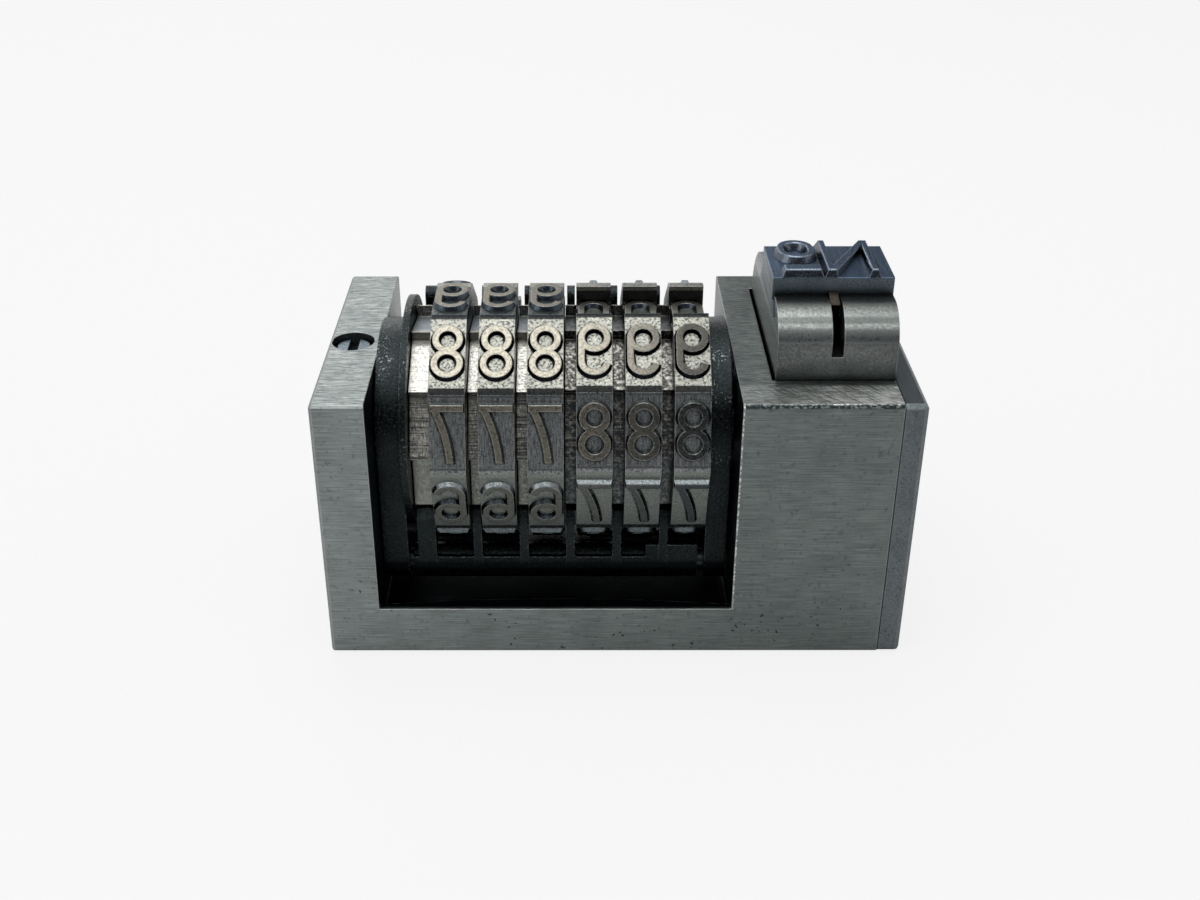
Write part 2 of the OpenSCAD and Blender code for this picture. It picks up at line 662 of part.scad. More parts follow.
module comb_outline(top, back) translate(pawl_rod_at)
    polygon([[-comb_front, top], [back, top], [back, 0], [-comb_front, -0.4]]);

// Rounded foot beside a finger, towards the side given by its sign
module comb_fillet(x, side) difference() {
    across(side > 0 ? x - 0.1 : x - comb_fillet_r, comb_fillet_r + 0.1) translate(pawl_rod_at)
        polygon([[-comb_front, 0], [-comb_front, comb_top + comb_fillet_r],
                 [-0.15, comb_top + comb_fillet_r], [-0.15, 0]]);
    translate([x + side * comb_fillet_r, axis_y + pawl_rod_at[0] + eps,
               axis_z + pawl_rod_at[1] + comb_top + comb_fillet_r])
        rotate([90, 0, 0]) cylinder(r = comb_fillet_r, h = comb_front + 2 * eps);
}

module driving_pawl() {
    raised_x = finger_x(wheel_count) - raised_reach;
    tail_x = (comb_x + comb_end_x - tail_w) / 2;
    difference() {
        union() {
            across(comb_x, comb_end_x - comb_x) union() {
                translate(pawl_rod_at) circle(pawl_hub_r);
                comb_outline(comb_top, 0);
            }
            // the end towards the prefix side stands a step higher
            across(raised_x, comb_end_x - raised_x) comb_outline(comb_top + raised_end, raised_back);
            across(tail_x, tail_w)
                translate(pawl_rod_at + [0, tail_top - tail_t]) square([tail_reach, tail_t]);
            for (i = [1:wheel_count]) across(finger_x(i), finger_t(i)) finger_outline(0.05 * (i - 1));
            for (i = [2:wheel_count - 1]) {
                comb_fillet(finger_x(i), -1);
                comb_fillet(finger_x(i) + finger_t(i), 1);
            }
            comb_fillet(finger_x(1) + finger_t(1), 1);
            comb_fillet(raised_x, -1);
        }
        across(comb_x - eps, comb_end_x - comb_x + 2 * eps) translate(pawl_rod_at)
            circle(pawl_rod_d / 2 + turn_clear);
    }
}

// Leaf clipped round the tie rod, its free end just above the pawl's tail
pawl_spring_w = 5;
clip_gap = 1;
leaf_lap = 0.5;         // how far the leaf's flat end lies over the tail
module pawl_spring() across((comb_x + comb_end_x - pawl_spring_w) / 2, pawl_spring_w) {
    lifted_tail = turned(pawl_rod_at + [tail_reach, tail_top], pawl_rod_at, pawl_lift);
    tip = lifted_tail + [0, leaf_clear];
    root = tie_rod_at + [0, tie_rod_d / 2 + fixed_clear];
    difference() {
        translate(tie_rod_at) circle(tie_rod_d / 2 + fixed_clear + leaf_t);
        translate(tie_rod_at) circle(tie_rod_d / 2 + fixed_clear);
        translate(tie_rod_at + [-clip_gap / 2, -tie_rod_d]) square([clip_gap, tie_rod_d]);
    }
    polygon([root, root + [0, leaf_t], tip + [0, leaf_t], tip + [-leaf_lap, leaf_t],
             tip + [-leaf_lap, 0], tip]);
}

// ---------------------------------------------------------------- retaining pawls

keeper_tip = around(pawl_tip_r, -99);
keeper_lift = 8;        // degrees that a retaining pawl lifts
keeper_tail_h = 3.3;    // top of a retaining pawl above its rod
keeper_tail_r = 0.7;
keeper_toe = keeper_tip + [0.9, -0.05];
keeper_heel = keeper_rod_at + [0.3, -1];
keeper_wide_x = 0.4;    // how far the hub of the units pawl reaches to the left

function keeper_x(i) = i == 1 ? units_ratchet_x + 0.1 : ring_x(i) - (ratchet_w + wheel_gap + keeper_w) / 2;
function keeper_t(i) = i == 1 ? units_ratchet_w - 0.2 : keeper_w;

module keeper_hub() difference() {
    union() {
        translate(keeper_rod_at) circle(keeper_hub_r);
        translate(keeper_rod_at + [0.2, keeper_tail_h - keeper_tail_r]) circle(keeper_tail_r);
        translate(keeper_rod_at + [0.2 - keeper_tail_r, 0])
            square([2 * keeper_tail_r, keeper_tail_h - keeper_tail_r]);
    }
    translate(keeper_rod_at) circle(keeper_rod_d / 2 + turn_clear);
}

module keeper_blade() difference() {
    polygon([keeper_tip, keeper_tip + [0.15, 0.9], keeper_rod_at + [-1, -0.3], keeper_rod_at,
             keeper_heel, keeper_toe]);
    translate(keeper_rod_at) circle(keeper_rod_d / 2 + turn_clear);
}

module keeper_pawl(i) {
    wide = i == 1 ? keeper_wide_x : 0;
    across(keeper_x(i) - wide, keeper_t(i) + wide) keeper_hub();
    across(keeper_x(i), keeper_t(i)) keeper_blade();
}

module keeper_rod() rod_at(keeper_rod_at, keeper_rod_d, left_leg_w - keeper_rod_sunk + pin_room,
    bay_w + 2 * (keeper_rod_sunk - pin_room));

module keeper_spring_bar() {
    across(left_leg_w + 0.1, bay_w - 0.2) translate(bar_place) square(spring_bar_w, center = true);
    rod_at(bar_place, bar_tenon_d, left_leg_w - keeper_rod_sunk + pin_room,
        bay_w + 2 * (keeper_rod_sunk - pin_room));
}

// Comb of leaves on the front of the spring bar, one leaf behind each retaining pawl
leaf_w = 1;
module keeper_springs() {
    face = bar_place[0] - spring_bar_w / 2;
    foot = bar_place[1] - spring_bar_w / 2;
    lifted = turned((keeper_toe + keeper_heel) / 2, keeper_rod_at, keeper_lift);
    tip = lifted + [1.75 * leaf_clear, 0];
    x0 = keeper_x(1) - 0.3;
    across(x0, keeper_x(wheel_count) + 1 - x0) translate([face - leaf_t, foot])
        square([leaf_t, spring_bar_w]);
    for (i = [1:wheel_count]) across(keeper_x(i) + keeper_t(i) / 2 - leaf_w / 2, leaf_w)
        polygon([[face, foot], [face, foot + spring_bar_w], tip + [leaf_t, 0], tip,
                 [face - leaf_t, foot + spring_bar_w], [face - leaf_t, foot]]);
}

// ---------------------------------------------------------------- plunger

slug_mid_y = axis_y;
slug_front_y = slug_mid_y - slug_top_d / 2;
slug_back_y = slug_mid_y + slug_top_d / 2;
slug_bottom_z = shoulder_z - slug_seat - dovetail;

// Cross section of the slug in [back, up], grown by a clearance
module slug_outline(grow) polygon([
    [slug_front_y - dovetail - grow, slug_bottom_z - grow],
    [slug_back_y + dovetail + grow, slug_bottom_z - grow],
    [slug_back_y + grow, slug_bottom_z + dovetail], [slug_back_y + grow, slug_top_z + grow],
    [slug_front_y - grow, slug_top_z + grow], [slug_front_y - grow, slug_bottom_z + dovetail]]);

module side_view(x, t) translate([x, 0, 0]) rotate([90, 0, 90]) linear_extrude(t) children();

front_flat = 0.06;      // milled off the rounded front, level with the face below it
module plunger_outline() {
    back_y = plunger_y + plunger_d;
    front_mid = [plunger_y + front_round_r - front_flat, shoulder_z - front_round_r];
    back_mid = [back_y - back_round_r, shoulder_z - back_round_r];
    intersection() {
        translate([plunger_y, plunger_bottom_z]) square([plunger_d, shoulder_z - plunger_bottom_z]);
        union() {
            translate([plunger_y, plunger_bottom_z]) square([plunger_d, back_mid[1] - plunger_bottom_z]);
            translate([plunger_y, plunger_bottom_z])
                square([plunger_d - back_round_r, front_mid[1] - plunger_bottom_z]);
            translate([front_mid[0], plunger_bottom_z])
                square([back_mid[0] - front_mid[0], shoulder_z - plunger_bottom_z]);
            translate(front_mid) circle(front_round_r);
            translate(back_mid) circle(back_round_r);
        }
    }
}

front_cut_z = shoulder_z - front_cut_h;
front_cut_y = slug_front_y + 0.25;      // the cut breaks into the slug's groove
module plunger() {
    slot_h = crank_pin_d + 2 * crank_clear;
    crank_z = axis_z + crank_at[1];
    crank_back = axis_y + crank_at[0] + crank_pin_d / 2 + 2 * crank_clear;
    crank_front = axis_y - crank_r - crank_pin_d / 2 - 2 * crank_clear;
    stop_slot = stop_pin_d + 0.1;
    difference() {
        side_view(plunger_x, plunger_w) plunger_outline();
        // dovetail groove for the prefix slug
        side_view(plunger_x - eps, plunger_w + 2 * eps) slug_outline(0.01);
        // cross slot for the crank pin
        translate([plunger_x - eps, crank_front, crank_z - slot_h / 2])
            cube([crank_reach + 0.3 + eps, crank_back - crank_front, slot_h]);
        // upright slot for the stop pin
        translate([plunger_x - eps, stop_pin_y - stop_slot / 2, stop_pin_z])
            cube([plunger_w + 2 * eps, stop_slot, plunger_travel + 0.1]);
        for (z = [stop_pin_z, stop_pin_z + plunger_travel + 0.1])
            translate([plunger_x - eps, stop_pin_y, z]) rotate([0, 90, 0])
                cylinder(d = stop_slot, h = plunger_w + 2 * eps);
        // blind bores for the springs
        for (y = [spring_front_y, spring_back_y]) translate([plunger_mid_x, y, plunger_bottom_z - eps])
            cylinder(d = spring_bore_d, h = spring_bore_h + eps);
        // saw cut in the rounded front
        translate([plunger_mid_x - front_cut_w / 2, plunger_y - eps, front_cut_z])
            cube([front_cut_w, front_cut_y - plunger_y + eps, front_cut_h + eps]);
    }
}

module plunger_spring(y) translate([plunger_mid_x, y, 0]) coil(plunger_spring_d, plunger_wire_d,
    pocket_floor_t, plunger_bottom_z + spring_bore_h, plunger_spring_turns);
module plunger_spring_front() plunger_spring(spring_front_y);
module plunger_spring_back() plunger_spring(spring_back_y);

module plunger_stop_pin() translate([pocket_x - stop_pin_seat, stop_pin_y, stop_pin_z])
    rotate([0, 90, 0]) cylinder(d = stop_pin_d, h = stop_pin_seat + pocket_w + stop_pin_end);

// Clip in the saw cut that presses on the slug's front and keeps it from sliding out
clip_clear = 0.02;
clip_t = 0.4;
clip_play = 0.14;       // side play of the clip in the saw cut
clip_proud = 0.28;      // how far the clip's nose stands above the shoulder, against the slug
module slug_spring() {
    back = slug_front_y - clip_clear;
    toe = back - dovetail;
    side_view(plunger_mid_x - front_cut_w / 2 + clip_clear, front_cut_w - clip_clear - clip_play)
        polygon([[toe, front_cut_z], [toe, slug_bottom_z + clip_clear],
                 [back, slug_bottom_z + dovetail + clip_clear], [back, shoulder_z + clip_proud],
                 [toe - clip_t, shoulder_z - clip_proud / 2], [toe - clip_t, front_cut_z]]);
}

// Raised numero mark in mirror image: a small o over its bar, and a capital N
prefix_stroke = 0.36;
module prefix_mark() {
    left = 0.75;
    o_w = 2.4;
    o_r = o_w / 2;
    o_l = 3;
    n_x = left + o_w + 0.55;
    n_w = 3.3;
    n_l = slug_top_d - 0.5;
    front = 0.2;
    translate([left + o_r, slug_top_d - 0.25 - o_l + o_r]) difference() {
        union() {
            circle(o_r);
            translate([0, o_l - o_w]) circle(o_r);
            translate([-o_r, 0]) square([o_w, o_l - o_w]);
        }
        circle(o_r - prefix_stroke);
        translate([0, o_l - o_w]) circle(o_r - prefix_stroke);
        translate([prefix_stroke - o_r, 0]) square([o_w - 2 * prefix_stroke, o_l - o_w]);
    }
    translate([left + 0.1, front]) square([o_w - 0.1, 0.75]);
    for (x = [0, n_w - prefix_stroke]) translate([n_x + x, front]) square([prefix_stroke, n_l]);
    translate([n_x, front])
        polygon([[0, 0], [1.35 * prefix_stroke, 0], [n_w, n_l], [n_w - 1.35 * prefix_stroke, n_l]]);
}

module prefix_slug() {
    slug_x = plunger_x - slug_overhang;
    side_view(slug_x, slug_overhang + plunger_w) slug_outline(0);
    translate([slug_x, slug_front_y, slug_top_z - 0.1]) linear_extrude(prefix_relief + 0.1) prefix_mark();
}

// ---------------------------------------------------------------- the nodes

color("slategray") seated() frame();
color("lightslategray") seated() side_plate();
color("dimgray") seated() side_plate_screws();
color("silver") seated() wheel_shaft();
color("lightsteelblue") seated() shaft_lock_screw();
color("#202528") seated() guard_washer();
color("gainsboro") seated() figure_wheel(1);  // wheel_1_units
color("gainsboro") seated() figure_wheel(2);  // wheel_2_tens
color("gainsboro") seated() figure_wheel(3);  // wheel_3_hundreds
color("gainsboro") seated() figure_wheel(4);  // wheel_4_thousands
color("gainsboro") seated() figure_wheel(5);  // wheel_5_ten_thousands
color("gainsboro") seated() figure_wheel(6);  // wheel_6_hundred_thousands
color("darkgray") seated() drop_cipher(2);  // drop_cipher_2
color("darkgray") seated() drop_cipher(3);  // drop_cipher_3
color("darkgray") seated() drop_cipher(4);  // drop_cipher_4
color("darkgray") seated() drop_cipher(5);  // drop_cipher_5
color("darkgray") seated() drop_cipher(6);  // drop_cipher_6
color("#23282b") seated() swing_left_cheek();
color("#23282b") seated() swing_right_cheek();
color("#3a4044") seated() swing_tie_rod();
color("#3a4044") seated() pawl_rod();
color("silver") seated() crank_pin();
color("#1c2023") seated() driving_pawl();
color("#50565a") seated() pawl_spring();
color("#50565a") seated() keeper_rod();
color("#1c2023") seated() keeper_pawl(1);  // keeper_pawl_1
color("#1c2023") seated() keeper_pawl(2);  // keeper_pawl_2
color("#1c2023") seated() keeper_pawl(3);  // keeper_pawl_3
color("#1c2023") seated() keeper_pawl(4);  // keeper_pawl_4
color("#1c2023") seated() keeper_pawl(5);  // keeper_pawl_5
color("#1c2023") seated() keeper_pawl(6);  // keeper_pawl_6
color("dimgray") seated() keeper_spring_bar();
color("#50565a") seated() keeper_springs();
color("darkgray") seated() plunger();
color("silver") seated() plunger_spring_front();
color("silver") seated() plunger_spring_back();
color("silver") seated() plunger_stop_pin();
color("#4f5f78") seated() prefix_slug();
color("#7a6d5e") seated() slug_spring();
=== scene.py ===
"""Looks of a six-wheel typographic numbering machine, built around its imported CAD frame.

Every length is in metres, in the frame's own axes: +X runs along the wheel shaft towards the
prefix, -Y is the front and +Z is up. Sizes in the fields are millimetres where their names end in _mm.
"""

import json
import logging
import math
from dataclasses import dataclass, replace
from enum import Enum
from typing import Any, Iterable, Mapping, Sequence

import bmesh
import bpy
from mathutils import Matrix, Vector


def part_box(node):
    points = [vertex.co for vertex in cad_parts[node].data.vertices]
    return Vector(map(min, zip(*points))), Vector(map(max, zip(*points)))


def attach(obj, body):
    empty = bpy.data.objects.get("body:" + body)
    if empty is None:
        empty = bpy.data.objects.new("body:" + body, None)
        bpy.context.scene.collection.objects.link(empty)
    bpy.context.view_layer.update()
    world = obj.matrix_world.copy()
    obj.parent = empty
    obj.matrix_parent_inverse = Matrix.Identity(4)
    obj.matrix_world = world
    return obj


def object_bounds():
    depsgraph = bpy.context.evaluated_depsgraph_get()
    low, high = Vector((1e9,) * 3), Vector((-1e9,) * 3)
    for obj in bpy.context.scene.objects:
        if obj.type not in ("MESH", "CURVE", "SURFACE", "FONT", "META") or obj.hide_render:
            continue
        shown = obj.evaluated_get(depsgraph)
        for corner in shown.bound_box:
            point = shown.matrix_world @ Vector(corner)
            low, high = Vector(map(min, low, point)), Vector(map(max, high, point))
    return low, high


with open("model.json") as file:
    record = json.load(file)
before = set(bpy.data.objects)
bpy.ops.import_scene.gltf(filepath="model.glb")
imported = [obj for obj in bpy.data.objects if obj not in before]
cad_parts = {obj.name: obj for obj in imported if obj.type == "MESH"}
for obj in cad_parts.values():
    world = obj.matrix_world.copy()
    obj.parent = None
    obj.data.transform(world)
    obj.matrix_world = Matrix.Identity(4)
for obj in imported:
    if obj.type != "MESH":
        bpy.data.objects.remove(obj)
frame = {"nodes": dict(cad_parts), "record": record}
CAD_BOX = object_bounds()
LOG = logging.getLogger("numbering_machine")
MM = 0.001
WELD = 1e-6  # corners closer than a micrometre are one

Tree = bpy.types.NodeTree
Source = bpy.types.Node | bpy.types.NodeSocket | float | str


# ---------------------------------------------------------------- small helpers


def hex_to_linear(code: str) -> tuple[float, float, float, float]:
    """Turns an sRGB hex colour into linear RGBA.

    Args:
        code: six hex digits, with or without a leading hash.

    Returns:
        The linear colour with an alpha of 1.
    """
    digits = code.lstrip("#")
    channels = []
    for start in (0, 2, 4):
        value = int(digits[start:start + 2], 16) / 255
        channels.append(value / 12.92 if value <= 0.04045 else ((value + 0.055) / 1.055) ** 2.4)
    return (channels[0], channels[1], channels[2], 1.0)


def emptied_tree(owner: bpy.types.Material | bpy.types.World) -> Tree:
    """Turns on a material's or a world's nodes and clears them away.

    Args:
        owner: the material or world.

    Returns:
        Its empty node tree.
    """
    owner.use_nodes = True
    owner.node_tree.nodes.clear()
    return owner.node_tree


def add_node(
    tree: Tree, kind: str, inputs: Mapping[int | str, Any] | None = None, **settings: Any
) -> bpy.types.Node:
    """Adds one node with its settings and its inputs.

    Args:
        tree: the node tree that takes the node.
        kind: the node's type, without the prefix that all shader nodes share.
        inputs: what goes into each input, by name or number: a value, a hex colour, a socket, or a
            node whose first output is meant.
        **settings: properties of the node itself.

    Returns:
        The new node.
    """
    node = tree.nodes.new(f"ShaderNode{kind}")
    for key, value in settings.items():
        setattr(node, key, value)
    for key, value in (inputs or {}).items():
        if isinstance(value, bpy.types.Node):
            value = value.outputs[0]
        if isinstance(value, bpy.types.NodeSocket):
            tree.links.new(value, node.inputs[key])
        else:
            node.inputs[key].default_value = hex_to_linear(value) if isinstance(value, str) else value
    return node


def product(tree: Tree, *factors: Source) -> Source:
    """Multiplies masks, shares or lengths one after another.

    Args:
        tree: the node tree.
        *factors: what is multiplied.

    Returns:
        The product: a lone factor itself, and 1 where there is none.
    """
    whole = factors[0] if factors else 1.0
    for factor in factors[1:]:
        whole = add_node(tree, "Math", {0: whole, 1: factor}, operation="MULTIPLY")
    return whole


def coat(
    tree: Tree, base: Source, colour: Source, *shares: Source, blend: str = "MIX"
) -> bpy.types.NodeSocket:
    """Lays a colour over another where all of its masks hold.

    Args:
        tree: the node tree.
        base: colour underneath.
        colour: colour on top.
        *shares: masks and strengths, multiplied into one share; with none the whole of it.
        blend: how the two meet.

    Returns:
        The colour to use.
    """
    return add_node(tree, "Mix", {"Factor": product(tree, *shares), 6: base, 7: colour},
                    data_type="RGBA", blend_type=blend).outputs[2]


def mottle(
    tree: Tree, place: Source, size: float, low: float, high: float, least: float = 0.0,
    most: Source = 1.0, detail: float = 2.0, roughness: float = 0.5
) -> bpy.types.Node:
    """Gives a mask or a gain that follows noise of one size.

    Args:
        tree: the node tree.
        place: where on the metal.
        size: size of the noise's grains in the units of place.
        low: noise level that gives the least.
        high: noise level that gives the most.
        least: the mask where the noise is at its low level or past it.
        most: the mask where it is at its high level or past it.
        detail: number of finer layers in the noise.
        roughness: strength of the finer layers.

    Returns:
        The mask.
    """
    noise = add_node(tree, "TexNoise", {
        "Vector": place, "Scale": 1 / size, "Detail": detail, "Roughness": roughness})
    return add_node(tree, "MapRange", {
        "Value": noise, "From Min": low, "From Max": high, "To Min": least, "To Max": most})


def fill_ramp(ramp: bpy.types.ColorRamp, stops: Iterable[tuple[float, str]]) -> None:
    """Sets a colour ramp's stops.

    Args:
        ramp: the ramp.
        stops: position from 0 to 1 and hex colour of each stop.
    """
    stops = list(stops)
    while len(ramp.elements) < len(stops):
        ramp.elements.new(1.0)
    for element, (position, colour) in zip(ramp.elements, stops):
        element.position = position
        element.color = hex_to_linear(colour)


def per_metre(size_mm: Sequence[float]) -> tuple[float, float, float]:
    """Gives the pattern scale, in repeats for each metre, for a grain size along X, Y and Z."""
    return tuple(1 / (s * MM) for s in size_mm)


def dress(node_name: str, material: bpy.types.Material, crisp_deg: float = 32.0) -> None:
    """Gives a frame node its finish, shades its round faces smooth and keeps its edges crisp.

    Args:
        node_name: the frame's node.
        material: its finish.
        crisp_deg: an edge that bends more than this stays sharp.
    """
    node = frame["nodes"][node_name]
    node.data.materials.clear()
    node.data.materials.append(material)
    weld = node.modifiers.new("weld", "WELD")
    weld.merge_threshold = WELD
    split = node.modifiers.new("crisp_edges", "EDGE_SPLIT")
    split.split_angle = math.radians(crisp_deg)
    node.data.polygons.foreach_set("use_smooth", [True] * len(node.data.polygons))
    LOG.info("dressed %s in %s", node_name, material.name)


def centre_of(node_name: str) -> Vector:
    """Gives the middle of a frame node's box."""
    low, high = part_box(node_name)
    return (low + high) / 2


SHAFT = centre_of("wheel_shaft")
BODY_OF = {n: b for b, ns in frame["record"]["behaviour"]["bodies"].items() for n in ns}


# ---------------------------------------------------------------- finishes


class Grain(Enum):
    """Which way the marks of the last grinding run, as a grain's size in mm along X, Y and Z.

    A stone's real scratches are some hundredths of a millimetre wide. They are drawn coarser, so
    that they show.
    """

    ALONG_X = (2.6, 0.075, 0.075)
    ALONG_Y = (0.10, 4.0, 0.10)
    EVEN = (0.16, 0.16, 0.16)


@dataclass(frozen=True)
class WorkedSteel:
    """Tool steel that has been ground, brushed or blackened, with its grain, pits and worn edges, and painted
    shade in its corners.

    Attributes:
        name: the finish in a maker's words.
        body: colour of the metal.
        stain: colour of the oil and oxide in its grain.
        worn: colour of the bare metal along its edges.
        grain: direction of the grinding marks.
        grain_share: how strongly the marks show, 0 to 1.
        speck_mm: size of the pits and specks.
        speck_share: how strongly the specks show, 0 to 1.
        speck_floor: noise level above which a speck shows; lower gives more specks.
        roughness: the middle roughness.
        spread: how far the roughness strays from it.
        relief_mm: height of the grain.
        edge_mm: width of the worn edges.
        edge_share: how strongly the worn edges show, 0 to 1.
        corner_shade_mm: reach of the painted shade that darkens corners and crevices.
        cloud_mm: size of the broad clouding.
    """

    name: str
    body: str
    stain: str
    worn: str
    grain: Grain = Grain.EVEN
    grain_share: float = 0.5
    speck_mm: float = 0.22
    speck_share: float = 0.4
    speck_floor: float = 0.6
    roughness: float = 0.4
    spread: float = 0.12
    relief_mm: float = 0.01
    edge_mm: float = 0.09
    edge_share: float = 0.6
    corner_shade_mm: float = 0.8
    cloud_mm: float = 2.6

    def build(self) -> bpy.types.Material:
        """Builds the finish as a material.

        Returns:
            The finished material.
        """
        material = bpy.data.materials.new(self.name)
        tree = emptied_tree(material)
        place = add_node(tree, "TexCoord").outputs["Object"]
        # scratches of the grinding stone, about a tenth of a millimetre apart
        grain_place = add_node(tree, "Mapping", {"Vector": place, "Scale": per_metre(self.grain.value)})
        grain = add_node(tree, "TexNoise", {
            "Vector": grain_place, "Scale": 1.0, "Detail": 5.0, "Roughness": 0.65})
        grain_mask = add_node(tree, "MapRange", {"Value": grain, "From Min": 0.36, "From Max": 0.66})
        base = coat(tree, self.body, self.stain, grain_mask, self.grain_share)
        # broad clouding left by handling
        cloud = mottle(tree, place, self.cloud_mm * MM, low=0.35, high=0.7, detail=4.0, roughness=0.6)
        base = coat(tree, base, self.stain, cloud, self.grain_share / 2)
        speck = mottle(tree, place, self.speck_mm * MM, self.speck_floor, self.speck_floor + 0.1)
        speck = product(tree, speck, self.speck_share)
        base = self.masked(tree, place, coat(tree, base, self.stain, speck))
        # bare metal along the edges, where the rounded normal leaves the flat one
        rounded = add_node(tree, "Bevel", {"Radius": self.edge_mm * MM}, samples=6)
        flat = add_node(tree, "NewGeometry").outputs["Normal"]
        agree = add_node(tree, "VectorMath", {0: rounded, 1: flat}, operation="DOT_PRODUCT")
        edge = add_node(tree, "MapRange", {
            "Value": agree.outputs["Value"], "From Min": 0.995, "From Max": 0.86})
        base = coat(tree, base, self.worn, edge, grain_mask, self.edge_share)
        # painted shade: ambient occlusion darkens the colour in corners and crevices, where shade falls
        open_air = add_node(tree, "AmbientOcclusion", {"Distance": self.corner_shade_mm * MM}, samples=8)
        painted_corner_shade = add_node(tree, "MapRange", {
            "Value": open_air.outputs["AO"], "From Min": 0.25, "From Max": 0.85, "To Min": 0.16})
        base = coat(tree, base, painted_corner_shade, blend="MULTIPLY")
        rough = add_node(tree, "MapRange", {
            "Value": grain, "From Min": 0.3, "From Max": 0.7,
            "To Min": self.roughness - self.spread, "To Max": self.roughness + self.spread})
        height = add_node(tree, "Math", {0: grain, 1: speck}, operation="SUBTRACT")
        bump = add_node(tree, "Bump", {
            "Strength": 1.0, "Distance": self.relief_mm * MM, "Height": height, "Normal": rounded})
        shader = add_node(tree, "BsdfPrincipled", {
            "Base Color": base, "Metallic": 1.0, "Roughness": rough, "Normal": bump})
        add_node(tree, "OutputMaterial", {"Surface": shader})
        return material

    def masked(self, tree: Tree, place: Source, base: Source) -> Source:
        """Leaves the colour as it is; a finish that differs from place to place overrides this.

        Args:
            tree: the material's node tree.
            place: position in the object's own space.
            base: colour so far.

        Returns:
            The colour to use.
        """
        return base


